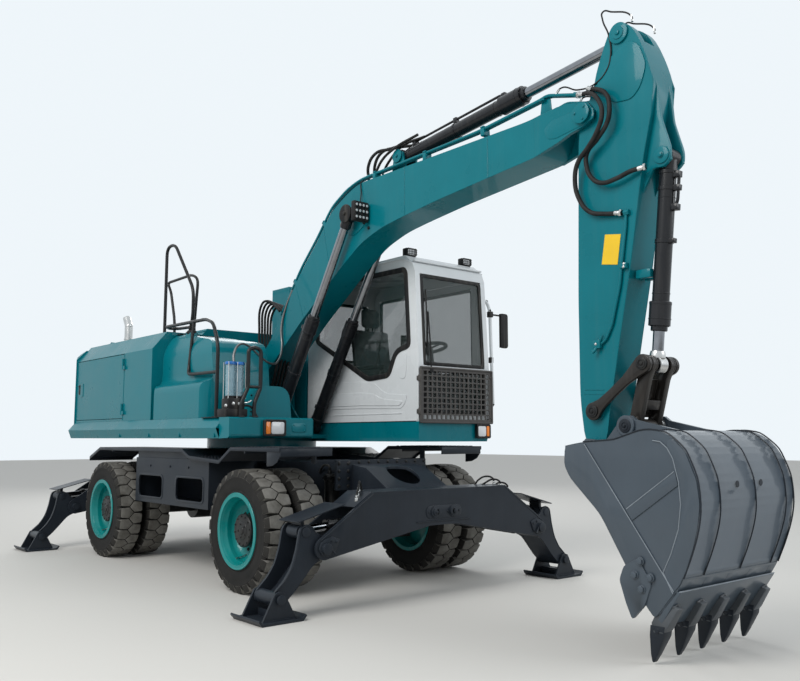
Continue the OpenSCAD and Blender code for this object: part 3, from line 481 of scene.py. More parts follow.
teal = (0.0, 0.155, 0.192)
mats = {
    # the body's edge colour is a lighter teal: a painted highlight along the edges, with a little wear
    "body": paint("bodyPaint", teal, 0.3, 0.2, 0.92, edgeWearAndHighlightAmount=0.1, edgeWearAndHighlightColor=(0.04, 0.32, 0.36), dust=0.02, bump=0.03,
        gloss=0.12),
    # lighter grey edges on the chassis paint: painted highlight where plate edges catch the sky, with some wear
    "charcoal": paint("charcoalPaint", (0.019, 0.025, 0.034), 0.38, 0.12, 0.8, edgeWearAndHighlightAmount=0.22, edgeWearAndHighlightColor=(0.08, 0.09, 0.1),
        dust=0.05, dustColor=(0.09, 0.09, 0.088), gloss=0.15),
    "black": paint("blackPaint", (0.011, 0.012, 0.013), 0.36, 0.12, 0.8, edgeWearAndHighlightAmount=0.2, edgeWearAndHighlightColor=(0.07, 0.07, 0.07),
        dust=0.06),
    "barrel": paint("cylinderPaint", (0.012, 0.013, 0.016), 0.28, 0.25, 0.8, edgeWearAndHighlightAmount=0.2, edgeWearAndHighlightColor=(0.07, 0.07, 0.08),
        dust=0.04),
    # the bucket's edge colour is a lighter blue-grey: painted highlight on the plate edges, partly wear
    "bucket": paint("bucketPaint", (0.058, 0.078, 0.1), 0.34, 0.3, 0.9, edgeWearAndHighlightAmount=0.35, edgeWearAndHighlightColor=(0.2, 0.24, 0.28),
        dust=0.02, bump=0.03, gloss=0.3),
    "wornSteel": paint("wornSteel", (0.1, 0.112, 0.125), 0.4, 0.0, 0.55, edgeWearAndHighlightAmount=0.6, edgeWearAndHighlightColor=(0.3, 0.31, 0.32),
        dust=0.02),
    # light blue-grey for the bucket's edge beads: painted highlight, partly wear
    "worn": paint("wornEdgeHighlight", (0.26, 0.3, 0.34), 0.4, 0.0, 0.7, edgeWearAndHighlightAmount=0.3, edgeWearAndHighlightColor=(0.4, 0.43, 0.46), dust=0.02),
    "cab": paint("cabPaint", (0.66, 0.69, 0.71), 0.26, 0.5, 0.95, edgeWearAndHighlightAmount=0.08, edgeWearAndHighlightColor=(0.5, 0.5, 0.5), dust=0.03,
        bump=0.02),
    "guard": paint("guardPaint", (0.07, 0.066, 0.064), 0.5, 0.1, 0.8, edgeWearAndHighlightAmount=0.25, dust=0.06),
    "link": paint("linkPaint", (0.02, 0.017, 0.015), 0.4, 0.25, 0.75, edgeWearAndHighlightAmount=0.25, edgeWearAndHighlightColor=(0.1, 0.09, 0.08),
        dust=0.05),
    # the rim's edge colour is a lighter teal: painted highlight along the edges, with some wear
    "rim": paint("rimPaint", (0.0, 0.235, 0.23), 0.28, 0.3, 0.85, edgeWearAndHighlightAmount=0.1, edgeWearAndHighlightColor=(0.1, 0.4, 0.36), dust=0.06,
        dustColor=(0.12, 0.14, 0.12)),
    "engine": paint("engineMetal", (0.12, 0.125, 0.13), 0.55, 0.0, 0.7, dust=0.3),
    "dark": paint("darkPlastic", (0.012, 0.012, 0.013), 0.5, 0.0, 0.8, edgeWearAndHighlightAmount=0.2, dust=0.15),
    # tread colours are a light khaki: dust on the rubber plus painted sky light on the running face; the darker flank
    # colour is painted shade on the blocks' sides
    "tread": rubber("treadRubber", (0.1, 0.096, 0.085), (0.2, 0.195, 0.18), shadedFlank=(0.026, 0.025, 0.023)),
    "sidewall": rubber("sidewallRubber", (0.011, 0.0108, 0.0105), (0.024, 0.023, 0.022)),
    "hose": rubber("hoseRubber", (0.012, 0.012, 0.012), (0.028, 0.028, 0.028), 60.0, 0.55),
    "chrome": bareMetal("rodChrome", (0.28, 0.29, 0.31), 0.1, 20.0, 0.8),
    "steel": bareMetal("brightSteel", (0.6, 0.6, 0.59), 0.25, 9.0, 0.88),
    "glass": glassSheet("cabGlass", (0.035, 0.055, 0.052), 0.34),
    "jar": glassSheet("clearJar", (0.35, 0.55, 0.65), 0.45, 0.1),
    "cloth": rubber("seatFabric", (0.07, 0.08, 0.085), (0.13, 0.145, 0.15), 90.0, 0.9),
    "orange": paint("orangeLens", (0.85, 0.22, 0.01), 0.2, 0.6, 0.85, edgeWearAndHighlightAmount=0.05, dust=0.08),
    "red": paint("redLens", (0.5, 0.01, 0.008), 0.2, 0.6, 0.8, edgeWearAndHighlightAmount=0.05, dust=0.08),
    "lens": paint("lampLens", (0.72, 0.74, 0.76), 0.12, 0.8, 0.8, edgeWearAndHighlightAmount=0.02, dust=0.06),
    "blue": paint("blueCap", (0.02, 0.16, 0.5), 0.35, 0.3, 0.85, edgeWearAndHighlightAmount=0.1, dust=0.1),
    "yellow": paint("yellowPlate", (0.85, 0.55, 0.02), 0.35, 0.3, 0.92, edgeWearAndHighlightAmount=0.1, dust=0.08),
    "braid": bareMetal("braidedHose", (0.3, 0.3, 0.3), 0.4, 320.0, 0.35),
    "seat": rubber("seatCloth", (0.055, 0.065, 0.07), (0.1, 0.115, 0.12), 80.0, 0.85),
}
print("stage: materials ready")

nodeFinish = {
    "chassis_frame": "charcoal", "axles": "black", "driveshafts": "black", "stabiliser_beams": "charcoal",
    "side_guards": "charcoal", "knuckle_right": "black", "knuckle_left": "black", "deck_frame": "body",
    "counterweight": "body", "engine_hood": "body", "hood_door": "body", "engine_block": "engine",
    "side_boxes": "body", "cab_shell": "cab", "cab_door": "cab", "cab_glass": "glass", "cab_guard": "guard",
    "operator_seat": "seat", "handrails": "black", "exhaust": "steel", "grease_pump": "jar",
    "lamps_and_mirrors": "dark", "boom": "body", "boom_cylinder_barrels": "barrel",
    "boom_cylinder_rods": "chrome", "arm": "body", "arm_cylinder_barrel": "barrel", "arm_cylinder_rod": "chrome",
    "rocker_links": "link", "bucket_link": "link", "bucket_cylinder_barrel": "barrel",
    "bucket_cylinder_rod": "chrome", "bucket": "bucket",
}
for corner in ("front_right", "front_left", "rear_right", "rear_left"):
    nodeFinish.update({"tyres_" + corner: "tread", "rims_" + corner: "rim", "leg_" + corner: "charcoal",
        "pad_" + corner: "charcoal", "leg_rod_" + corner: "charcoal"})
for nodeName, ob in frame["nodes"].items():
    for part in (ob if isinstance(ob, (list, tuple)) else [ob]):
        part.data.materials.clear()
        part.data.materials.append(mats[nodeFinish[nodeName]])

cameraSettings = {"place": (8.237, -4.973, 1.305), "heading": 139.82, "pitch": 6.47, "focal": 858.5}
cameraData = bpy.data.cameras.new("viewCamera")
cameraData.sensor_width = 36.0
cameraData.lens = cameraSettings["focal"] / 800 * 36.0
cameraData.clip_end = 200
camera = bpy.data.objects.new("viewCamera", cameraData)
bpy.context.scene.collection.objects.link(camera)
camera.location = cameraSettings["place"]
camera.rotation_euler = (math.radians(90 + cameraSettings["pitch"]), 0, math.radians(cameraSettings["heading"] - 90))
bpy.context.scene.camera = camera

clearSelection()
bpy.ops.mesh.primitive_plane_add(size=90, location=(0, 0, 0))
floor = bpy.context.object
floor.name = "floor"
floorMaterial, _, floorSkin = newMaterial("paleFloor")
floorSkin.inputs["Base Color"].default_value = (0.62, 0.61, 0.58, 1)
floorSkin.inputs["Roughness"].default_value = 0.8
floor.data.materials.append(floorMaterial)

world = bpy.data.worlds.new("studio")
bpy.context.scene.world = world
world.use_nodes = True
worldTree = world.node_tree
back = worldTree.nodes["Background"]
back.inputs["Color"].default_value = (0.93, 0.965, 1.0, 1)
back.inputs["Strength"].default_value = 0.62
show = worldTree.nodes.new("ShaderNodeBackground")
show.inputs["Color"].default_value = (0.86, 0.92, 0.96, 1)
show.inputs["Strength"].default_value = 1.0
rays = worldTree.nodes.new("ShaderNodeLightPath")
seen = mathNode(worldTree, "MAXIMUM", mathNode(worldTree, "MAXIMUM", rays.outputs["Is Camera Ray"],
    rays.outputs["Is Glossy Ray"]), rays.outputs["Is Transmission Ray"])
blend = worldTree.nodes.new("ShaderNodeMixShader")
link(worldTree, seen, blend.inputs[0])
link(worldTree, back.outputs[0], blend.inputs[1])
link(worldTree, show.outputs[0], blend.inputs[2])
link(worldTree, blend.outputs[0], worldTree.nodes["World Output"].inputs["Surface"])

for name, place, aim, size, power, color in (
        ("keyLight", (3.5, -9.5, 9.0), (1.5, 0, 1.5), 6.0, 900, (1.0, 0.98, 0.95)),
        ("fillLight", (12.0, 5.0, 7.0), (2.5, 0, 1.5), 7.0, 420, (0.95, 0.98, 1.0)),
        ("backLight", (-9.0, 6.0, 8.0), (0, 0, 2.0), 7.0, 450, (1.0, 1.0, 1.0))):
    lampData = bpy.data.lights.new(name, "AREA")
    lampData.energy = power
    lampData.size = size
    lampData.color = color
    lamp = bpy.data.objects.new(name, lampData)
    bpy.context.scene.collection.objects.link(lamp)
    lamp.location = place
    lamp.rotation_euler = (Vector(aim) - Vector(place)).to_track_quat("-Z", "Y").to_euler()

bpy.context.scene.view_settings.view_transform = "Standard"
print("stage: camera and light")

corners = {"front_right": (1.679, -1), "front_left": (1.679, 1), "rear_right": (-1.325, -1), "rear_left": (-1.325, 1)}
tyre = {"radius": 0.52, "halfWidth": 0.135, "blocks": 26, "grooveFloor": 0.484, "blockFoot": 0.485,
    "shoulderFoot": 0.452, "outerY": 1.116, "innerY": 0.793}


def tyreCarcass():
    w = tyre["halfWidth"]
    half = [(0.306, w - 0.012), (0.318, w - 0.004), (0.33, w - 0.004), (0.338, w - 0.01), (0.36, w - 0.003),
        (0.405, w), (0.44, w - 0.001), (0.448, w + 0.002), (0.456, w - 0.002), (0.472, w - 0.008),
        (0.485, w - 0.02), (tyre["grooveFloor"], w - 0.04)]
    return turned([(r, -y) for r, y in half] + [(r, y) for r, y in reversed(half)], (0, 0, 0), "y", 104)


def treadBlock(side):
    pitch = math.tau / tyre["blocks"]
    reach = tyre["radius"]
    # outline as (share of the pitch, distance from the middle line), from the shoulder to the point past the middle
    outline = [(-0.355, 0.134), (0.0, 0.134), (0.355, 0.134), (0.4, 0.1), (0.468, 0.028), (0.0, -0.023),
        (-0.468, 0.028), (-0.4, 0.1)]
    clearSelection()
    bpy.ops.mesh.primitive_circle_add(vertices=8, fill_type="NGON")
    ob = bpy.context.object
    bpy.ops.object.mode_set(mode="EDIT")
    bpy.ops.mesh.select_all(action="SELECT")
    bpy.ops.mesh.extrude_region_move(TRANSFORM_OT_translate={"value": (0, 0, 1)})
    bpy.ops.mesh.select_all(action="SELECT")
    bpy.ops.mesh.normals_make_consistent(inside=False)
    bpy.ops.mesh.select_all(action="DESELECT")
    bpy.ops.object.mode_set(mode="OBJECT")
    for index, vert in enumerate(ob.data.vertices):
        share, y = outline[index % 8]
        shoulder = y > 0.12
        raised = index >= 8
        r = (reach - 0.005 if shoulder else reach) if raised else (tyre["shoulderFoot"] if shoulder
            else tyre["blockFoot"])
        if raised and shoulder:
            y -= 0.016
        if not raised and shoulder:
            y += 0.0015
        if raised:
            share *= 0.975
        angle = share * pitch
        vert.co = (r * math.sin(angle), y * side, r * math.cos(angle))
    if side < 0:
        pick([ob])
        bpy.ops.object.mode_set(mode="EDIT")
        bpy.ops.mesh.select_all(action="SELECT")
        bpy.ops.mesh.flip_normals()
        bpy.ops.object.mode_set(mode="OBJECT")
    tidyShell(ob)
    roundEdges(ob, 0.003, 2, 30)
    return ob


def buildTread():
    pitch = math.tau / tyre["blocks"]
    parts = []
    for side in (1, -1):
        master = treadBlock(side)
        for i in range(tyre["blocks"]):
            parts.append(copyAt(master, Matrix.Rotation((i + (0.5 if side < 0 else 0)) * pitch, 4, "Y")))
        erase(master)
    return joinAll(parts, "treadMaster")


treadMaster, carcassMaster = buildTread(), tyreCarcass()
for corner, (x, side) in corners.items():
    for master, label, finishName in ((treadMaster, "tread_", "tread"), (carcassMaster, "carcass_", "sidewall")):
        pair = [copyAt(master, Matrix.Translation((x, side * y, tyre["radius"])) @ Matrix.Rotation(turn, 4, "Y"))
            for y, turn in ((tyre["outerY"], 0.03), (tyre["innerY"], 0.09))]
        ob = finish(pair, label + corner, "wheel_" + corner, finishName, angle=30)
        if label == "carcass_":
            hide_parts("tyres_" + corner)
erase(treadMaster)
erase(carcassMaster)
print("stage: tyres")


# flat plate with an opening of the same number of corners
def ringPlate(outer, inner, low, high, axis="y", edge=0.002):
    ob = plate(outer, low, high, axis, 0)
    tool = plate(inner, low - 0.02, high + 0.02, axis, 0)
    cut(ob, [tool])
    if edge:
        roundEdges(ob, edge)
    return ob


def cut(ob, tools):
    for tool in tools:
        shape(ob, "BOOLEAN", operation="DIFFERENCE", solver="EXACT", object=tool)
        erase(tool)
    return ob


def rounded(a0, a1, b0, b1, r, steps=5):  # outline of a rectangle with round corners
    out = []
    for ca, cb, start in ((a1 - r, b1 - r, 0), (a0 + r, b1 - r, 90), (a0 + r, b0 + r, 180), (a1 - r, b0 + r, 270)):
        for i in range(steps + 1):
            angle = math.radians(start + 90 * i / steps)
            out.append((ca + r * math.cos(angle), cb + r * math.sin(angle)))
    return out


def weld(points, r=0.004):  # bead along a seam
    return tube(points, r, 0.0, False, 2, 1)


def bothSides(obs):
    return obs + [mirrored(ob) for ob in obs]


wheelTrim = {"hubFace": 1.196, "hubRadius": 0.142, "faceBolts": 12, "wheelNuts": 10, "nutRing": 0.188,
    "nutFace": 1.083}


def buildHub():  # black drum of the reduction gear with its bolted cover
    y, r = wheelTrim["hubFace"], wheelTrim["hubRadius"]
    profile = [(0.0, y + 0.012), (0.03, y + 0.012), (0.034, y + 0.005), (0.075, y + 0.005), (0.079, y),
        (r - 0.012, y), (r, y - 0.008), (r, y - 0.03), (r - 0.006, y - 0.034), (r - 0.006, y - 0.085),
        (r + 0.012, y - 0.1), (r + 0.012, y - 0.13), (0.0, y - 0.13)]
    parts = [turned(profile, (0, 0, 0), "y", 56, 0.0012)]
    for count, ring, size in ((wheelTrim["faceBolts"], r - 0.022, 0.0085), (5, 0.056, 0.008)):
        for i in range(count):
            angle = math.tau * (i + 0.3) / count
            parts += bolts([(ring * math.sin(angle), y + (0.005 if size < 0.0085 else 0), ring * math.cos(angle))],
                (0, 1, 0), size)
    return joinAll(parts, "hubMaster")


def buildNuts():  # wheel nuts round the drum's foot
    parts = []
    r = wheelTrim["nutRing"]
    for i in range(wheelTrim["wheelNuts"]):
        angle = math.tau * i / wheelTrim["wheelNuts"] + 0.2
        parts += bolts([(r * math.sin(angle), wheelTrim["nutFace"], r * math.cos(angle))], (0, 1, 0), 0.014)
    return joinAll(parts, "nutMaster")


def buildFlange():  # rolled outer edge of the rim and the deep dish behind it
    profile = [(0.3175, 1.245), (0.322, 1.2475), (0.3225, 1.2525), (0.319, 1.2565), (0.3125, 1.257), (0.306, 1.254),
        (0.3, 1.2475), (0.294, 1.2455), (0.289, 1.2475), (0.284, 1.2455), (0.279, 1.239), (0.276, 1.229),
        (0.272, 1.2), (0.265, 1.16), (0.252, 1.125), (0.231, 1.1), (0.205, 1.086), (0.175, 1.081),
        (0.145, 1.08), (0.145, 1.074), (0.2, 1.074), (0.262, 1.1), (0.27, 1.15), (0.288, 1.23), (0.31, 1.238)]
    return turned(profile, (0, 0, 0), "y", 88)


hubMaster, nutMaster, flangeMaster = buildHub(), buildNuts(), buildFlange()
for corner, (x, side) in corners.items():
    place = Matrix.Translation((x, 0, tyre["radius"])) @ Matrix.Rotation(0.0 if side > 0 else math.pi, 4, "Z")
    finish(copyAt(hubMaster, place), "hub_" + corner, "wheel_" + corner, "black", angle=30)
    finish(copyAt(nutMaster, place), "wheel_nuts_" + corner, "wheel_" + corner, "dark", "black_paint", angle=30)
    finish(copyAt(flangeMaster, place), "rim_lip_" + corner, "wheel_" + corner, "rim", angle=40)
    stem = tube([(0.075, 1.1, -0.215), (0.085, 1.16, -0.235), (0.088, 1.2, -0.24)], 0.006, 0.015)
    valve = copyAt(stem, place)
    erase(stem)
    finish(valve, "tyre_valve_" + corner, "wheel_" + corner, "steel")
for master in (hubMaster, nutMaster, flangeMaster):
    erase(master)
print("stage: wheels")

guard = {"line": [(-1.95, 1.09), (-1.64, 1.2), (0.45, 1.2), (0.6, 1.135), (1.19, 1.105), (1.4, 1.224), (2.21, 1.224)],
    "outer": 1.17, "inner": 0.64, "lip": 0.034, "stepY": 1.12, "openings": ((-0.64, -0.07), (0.24, 0.81)),
    "z": (0.7, 0.92)}


def buildGuards():
    line = guard["line"]
    y = guard["outer"]
    lip = plate([(a, b - 0.004) for a, b in line] + [(a, b - guard["lip"]) for a, b in reversed(line)], y - 0.007,
        y + 0.0015, "y", 0.0015)
    inner = plate([(a, b - 0.004) for a, b in line] + [(a, b - guard["lip"]) for a, b in reversed(line)],
        guard["inner"] - 0.0015, guard["inner"] + 0.006, "y", 0.0015)
    parts = [lip, inner]
    parts += [
        plate([(2.207, 1.212), (2.207, 1.16), (2.16, 1.105), (2.09, 1.075), (2.0, 1.066), (2.0, 1.212)], y - 0.016,
            y - 0.008, "y", 0.002),
        block((2.196, guard["inner"], 1.15), (2.2105, y - 0.01, 1.214)),
        block((1.62, guard["inner"], 1.17), (1.64, y - 0.01, 1.212)),
        block((-1.3, guard["inner"], 1.15), (-1.28, y - 0.01, 1.188)),
        block((-1.955, guard["inner"], 1.04), (-1.947, y, 1.088)),
    ]
    for x0, x1 in guard["openings"]:
        z0, z1 = guard["z"]
        parts.append(ringPlate(rounded(x0 - 0.018, x1 + 0.018, z0 - 0.018, z1 + 0.018, 0.06),
            rounded(x0 + 0.004, x1 - 0.004, z0 + 0.004, z1 - 0.004, 0.045), guard["stepY"] - 0.004,
            guard["stepY"] + 0.0045, "y", 0.0015))
        for cornerX in (x0, x1):
            for cornerZ in (z0, z1):
                sx = 1 if cornerX == x0 else -1
                sz = 1 if cornerZ == z0 else -1
                parts.append(plate([(cornerX, cornerZ), (cornerX + sx * 0.05, cornerZ),
                    (cornerX + sx * 0.036, cornerZ + sz * 0.004),
                    (cornerX + sx * 0.014, cornerZ + sz * 0.015),
                    (cornerX + sx * 0.004, cornerZ + sz * 0.036), (cornerX, cornerZ + sz * 0.05)],
                    guard["stepY"] - 0.015, guard["stepY"] - 0.001, "y", 0))
    parts.append(block((0.605, guard["stepY"] - 0.005, 1.098), (0.915, guard["outer"] - 0.002, 1.109), 0.002))
    for x in (-0.36, 0.1, 0.5):
        parts += bolts([(x, guard["stepY"] + 0.0005, 1.02)], (0, 1, 0), 0.011)
    return parts


def buildGrip():  # raised studs of the step and of the fender tops
    stud = disc((0, 0, 0), 0.013, 0.005, "z", 10, 0.0015)
    places = []
    for i in range(8):
        for j in range(9):
            x = 0.66 + i * 0.065 + (0.03 if j % 2 else 0)
            z = 1.135 - (x - 0.6) * 0.0508 - 0.0005
            places.append((x, 0.72 + j * 0.05, z))
    for i in range(12):
        for j in range(9):
            places.append((1.46 + i * 0.06 + (0.03 if j % 2 else 0), 0.72 + j * 0.05, 1.2235))
    out = [copyAt(stud, Matrix.Translation(p)) for p in places]
    erase(stud)
    return out


guardParts = buildGuards()
gripParts = buildGrip()
finish(bothSides(guardParts), "guard_edges", "chassis", "charcoal")
finish(bothSides(gripParts), "step_grip", "chassis", "charcoal")
print("stage: side guards")

lock = {"x": 1.86, "y": 0.415, "low": 0.6, "high": 0.985, "r": 0.046}


def buildLock():  # axle lock cylinder beside the frame, with its ports
    x, y = lock["x"], lock["y"]
    profile = [(0, lock["low"]), (0.034, lock["low"]), (0.038, lock["low"] + 0.01), (0.038, lock["low"] + 0.11),
        (lock["r"], lock["low"] + 0.13), (lock["r"], lock["high"] - 0.07), (0.054, lock["high"] - 0.06),
        (0.054, lock["high"] - 0.008), (0.046, lock["high"]), (0, lock["high"])]
    parts = [turned(profile, (x, -y, 0), "z", 32, 0.002)]
    parts.append(block((x - 0.05, -y, 0.72), (x + 0.05, -0.348, 0.9)))
    parts += bolts([(x - 0.035, -y - 0.045, 0.95), (x + 0.035, -y - 0.045, 0.95)], (0, -1, 0), 0.009)
    parts.append(disc((x, -y, lock["high"]), 0.018, 0.03, "z", 16))
    return parts


lockParts = buildLock()
finish(bothSides(lockParts), "axle_lock", "chassis", "black")
lockHose = [tube([(1.86, -0.415, 1.01), (1.86, -0.42, 1.045), (1.80, -0.41, 1.06), (1.72, -0.39, 1.05),
    (1.62, -0.36, 0.99)], 0.011, soft=True),
    tube([(1.90, -0.455, 0.93), (1.96, -0.46, 0.97), (2.02, -0.42, 0.94), (2.05, -0.36, 0.86)], 0.009,
        soft=True)]
finish(bothSides(lockHose), "axle_lock_hoses", "chassis", "hose", "black_paint")

frameBolts = bolts([(2.11, y, z) for y in (-0.495, -0.395) for z in (0.885, 0.95, 1.015, 1.08)], (1, 0, 0), 0.014)
frameBolts += bolts([(2.11, -0.495 + i * 0.11, 1.0905) for i in range(10)], (1, 0, 0), 0.0125)
frameBolts += bolts([(2.11, y, z) for y in (0.495, 0.395) for z in (0.885, 0.95, 1.015)], (1, 0, 0), 0.014)
ringBolts = [(0.603 * math.cos(math.tau * i / 36), 0.603 * math.sin(math.tau * i / 36), 1.1295) for i in range(36)]
frameBolts += bolts(ringBolts, (0, 0, 1), 0.011)
finish(frameBolts, "frame_bolts", "chassis", "black")

frameWelds = bothSides([weld([(2.112, -0.3, 0.705), (2.112, -0.3, 1.045), (2.3, -0.3, 1.03), (2.58, -0.3, 0.884)],
    0.005), weld([(-1.9, -0.351, 0.75), (-0.52, -0.351, 0.75)], 0.0045)])
frameRibs = bothSides([block((x, -0.43, 0.74), (x + 0.014, -0.349, 0.958)) for x in (-0.49, -0.2, 0.2, 0.48)])
frameRibs += bothSides([plate([(-2.1, 0.86), (-1.95, 0.86), (-1.95, 1.0), (-2.1, 1.0)], -0.356, -0.349, "y", 0.002)])
finish(frameWelds + frameRibs, "frame_ribs", "chassis", "charcoal")
print("stage: frame")

beam = {"front": 2.749, "rear": -2.42, "halfX": 0.165, "pivotY": 1.205, "pivotZ": 0.488, "top": 0.884}


def beamTrim(x, way):  # way is +1 where the outer face looks along +X
    face = x + way * beam["halfX"]
    parts = []
    py, pz = beam["pivotY"], beam["pivotZ"]
    for side in (1, -1):
        low, high = sorted((face - way * 0.001, face + way * 0.012))
        keeperEdge = ((-0.13, 0.06), (-0.06, 0.085), (0.0, 0.07), (0.045, 0.045), (0.06, 0.0), (0.03, -0.05),
            (-0.03, -0.06), (-0.09, -0.03))
        keeper = plate([(side * (py + a), pz + b) for a, b in keeperEdge], low, high, "x", 0.004)
        parts.append(keeper)
        parts += bolts([(face + way * 0.012, side * (py - 0.098), pz + 0.045),
            (face + way * 0.012, side * (py - 0.052), pz + 0.058)], (way, 0, 0), 0.011)
        parts += [
            tube([(face + way * 0.015, side * (py - 0.02), pz + 0.02),
                (face + way * 0.03, side * (py - 0.075), pz - 0.045)], 0.008, 0),
            disc((x + way * 0.2, side * py, pz), 0.042, way * 0.006, "x", 28),
            weld([(face, side * 0.75, beam["top"] - 0.012), (face, side * 1.242, 0.548)], 0.005),
        ]
        # top cover that follows the sloping shoulder, stopped short of the leg's cylinder
        cover = [(side * 0.74, 0.884), (side * 0.76, 0.8875), (side * 0.93, 0.777), (side * 0.92, 0.77),
            (side * 0.745, 0.874)]
        parts.append(plate(cover, x - beam["halfX"] + 0.01, x + beam["halfX"] - 0.01, "x", 0.002))
    parts.append(plate(rounded(-0.2, 0.2, 0.645, 0.75, 0.05), min(face, face + way * 0.006),
        max(face, face + way * 0.006), "x", 0.002))
    for y in (-0.104, 0.104):
        parts.append(disc((face + way * 0.005, y, 0.697), 0.047, way * 0.014, "x", 36, 0.003))
        parts.append(disc((face + way * 0.018, y, 0.697), 0.03, way * 0.012, "x", 32, 0.003))
        parts += bolts([(face + way * 0.03, y, 0.697)], (way, 0, 0), 0.013)
        parts += bolts([(face + way * 0.006, y + side * 0.066, 0.697) for side in (-1, 1)], (way, 0, 0), 0.008)
    parts.append(plate([(-0.3, 0.62), (0.3, 0.62), (0.3, 0.6255), (-0.3, 0.6255)], min(face, face + way * 0.011),
        max(face, face + way * 0.011), "x", 0))
    return parts


def beamFittings(x, way):  # hydraulic ports on the beam's shoulder and their hoses into the beam
    parts, hoses = [], []
    face = x + way * 0.05
    for side in (1, -1):
        for i, (y, z) in enumerate(((0.775, 0.879), (0.815, 0.853), (0.86, 0.824))):
            px = face + (i - 1) * 0.045
            parts.append(disc((px, side * y, z - 0.012), 0.016, 0.03, "z", 6, 0.002))
            parts.append(disc((px, side * y, z + 0.015), 0.011, 0.022, "z", 12, 0.002))
            hoses.append(tube([(px, side * y, z + 0.03), (px - way * 0.005, side * (y - 0.01), z + 0.06),
                (px - way * 0.05, side * (y - 0.05), z + 0.078),
                (px - way * 0.1, side * (y - 0.1), z + 0.045),
                (px - way * 0.12, side * (y - 0.13), 0.875)], 0.0085, soft=True))
    return parts, hoses


beamParts, fittingParts, hoseParts = [], [], []
for x, way in ((beam["front"], 1), (beam["rear"], -1)):
    beamParts += beamTrim(x, way)
    fittings, hoses = beamFittings(x, way)
    fittingParts += fittings
    hoseParts += hoses
finish(beamParts, "beam_trim", "chassis", "charcoal")
finish(fittingParts, "beam_fittings", "chassis", "steel")
finish(hoseParts, "beam_hoses", "chassis", "hose", "black_paint")

for corner, (wheelX, side) in corners.items():
    x = beam["front"] if wheelX > 0 else beam["rear"]
    eye = Vector((x, side * (beam["pivotY"] + 0.144), beam["pivotZ"] + 0.125))
    run = Vector((0, -side * math.cos(math.radians(4)), math.sin(math.radians(4))))
    rod = tube([eye + run * 0.05, eye + run * 0.3], 0.0335, 0)
    finish(rod, "leg_chrome_" + corner, "leg_rod_" + corner, "chrome")
    gland = tube([eye + run * 0.27, eye + run * 0.556], 0.046, 0)
    collar = tube([eye + run * 0.262, eye + run * 0.3], 0.052, 0)
    finish([gland, collar], "leg_barrel_" + corner, "leg_rod_" + corner, "barrel")
    foot = Vector((x, side * (beam["pivotY"] + 0.376), 0.16))
    caps = []
    for way in (1, -1):
        caps.append(disc(foot + Vector((way * 0.165, 0, 0)), 0.036, way * 0.008, "x", 24))
        caps.append(disc(eye + Vector((way * 0.124, 0, 0)), 0.036, way * 0.008, "x", 24))
        edge = [(-0.05, 0.065), (0.06, 0.12), (0.09, 0.165), (0.144, 0.187), (0.195, 0.16), (0.208, 0.11),
            (0.222, 0.02), (0.262, -0.11), (0.33, -0.21), (0.415, -0.285)]
        caps.append(weld([(x + way * 0.125, side * (beam["pivotY"] + a * 0.965), beam["pivotZ"] + b * 0.965)
            for a, b in edge], 0.0045))
    finish(caps, "leg_caps_" + corner, "leg_" + corner, "charcoal")
    seam = []
    for way in (1, -1):
        s = x + way * 0.151
        seam.append(weld([(s, foot.y - 0.13, 0.022), (s, foot.y + 0.13, 0.022)], 0.005))
        seam += bolts([(x, foot.y + 0.165, 0.029)], (0, 0, 1), 0.009)
    seam.append(block((x - 0.132, foot.y - 0.012, 0.018), (x + 0.132, foot.y + 0.012, 0.07)))
    finish(seam, "pad_welds_" + corner, "pad_" + corner, "charcoal")
print("stage: stabilisers")


def buildDeckTrim():
    parts = []
    # front right face: seam, corner bead and the tie-down slot
    parts.append(weld([(1.4515, -1.2, 1.335), (1.4515, -0.34, 1.335)], 0.0035))
    parts.append(plate(rounded(-0.56, -0.4, 1.355, 1.44, 0.02), 1.4495, 1.4545, "x", 0.001))
    parts += bolts([(1.4545, y, z) for y in (-0.54, -0.42) for z in (1.37, 1.425)], (1, 0, 0), 0.007)
    for x in (-0.95, -0.2, 0.5, 1.2):
        parts.append(plate([(x, 1.31), (x + 0.012, 1.31), (x + 0.012, 1.39), (x, 1.39)], -1.236, -1.222, "y", 0.002))
    # grip plates on the open deck in front of the tank
    parts.append(plate(rounded(0.86, 1.43, -1.02, -0.93, 0.015), 1.489, 1.494, "z", 0.001))
    return parts


def buildDeckGrip():  # black anti-slip plates with rows of studs
    parts = []
    stud = disc((0, 0, 0), 0.008, 0.004, "z", 8, 0.001)
    for x0, x1, y0, y1, z in ((0.87, 1.28, -1.2, -0.9, 1.49), (-1.42, -0.38, -0.5, 0.82, 2.5),
            (-0.28, -0.16, -0.92, -0.45, 2.3965)):
        parts.append(plate(rounded(x0, x1, y0, y1, 0.02), z - 0.001, z + 0.005, "z", 0.0015))
        nx, ny = max(2, int((x1 - x0) / 0.06)), max(2, int((y1 - y0) / 0.06))
        for i in range(nx):
            for j in range(ny):
                parts.append(copyAt(stud,
                    Matrix.Translation((x0 + (i + 0.5) * (x1 - x0) / nx,
                        y0 + (j + 0.5) * (y1 - y0) / ny, z + 0.005))))
    erase(stud)
    return parts


finish(buildDeckTrim(), "deck_trim", "upper", "body")
finish(buildDeckGrip(), "grip_plates", "upper", "dark")

hoodDoor = {"rear": -2.455}


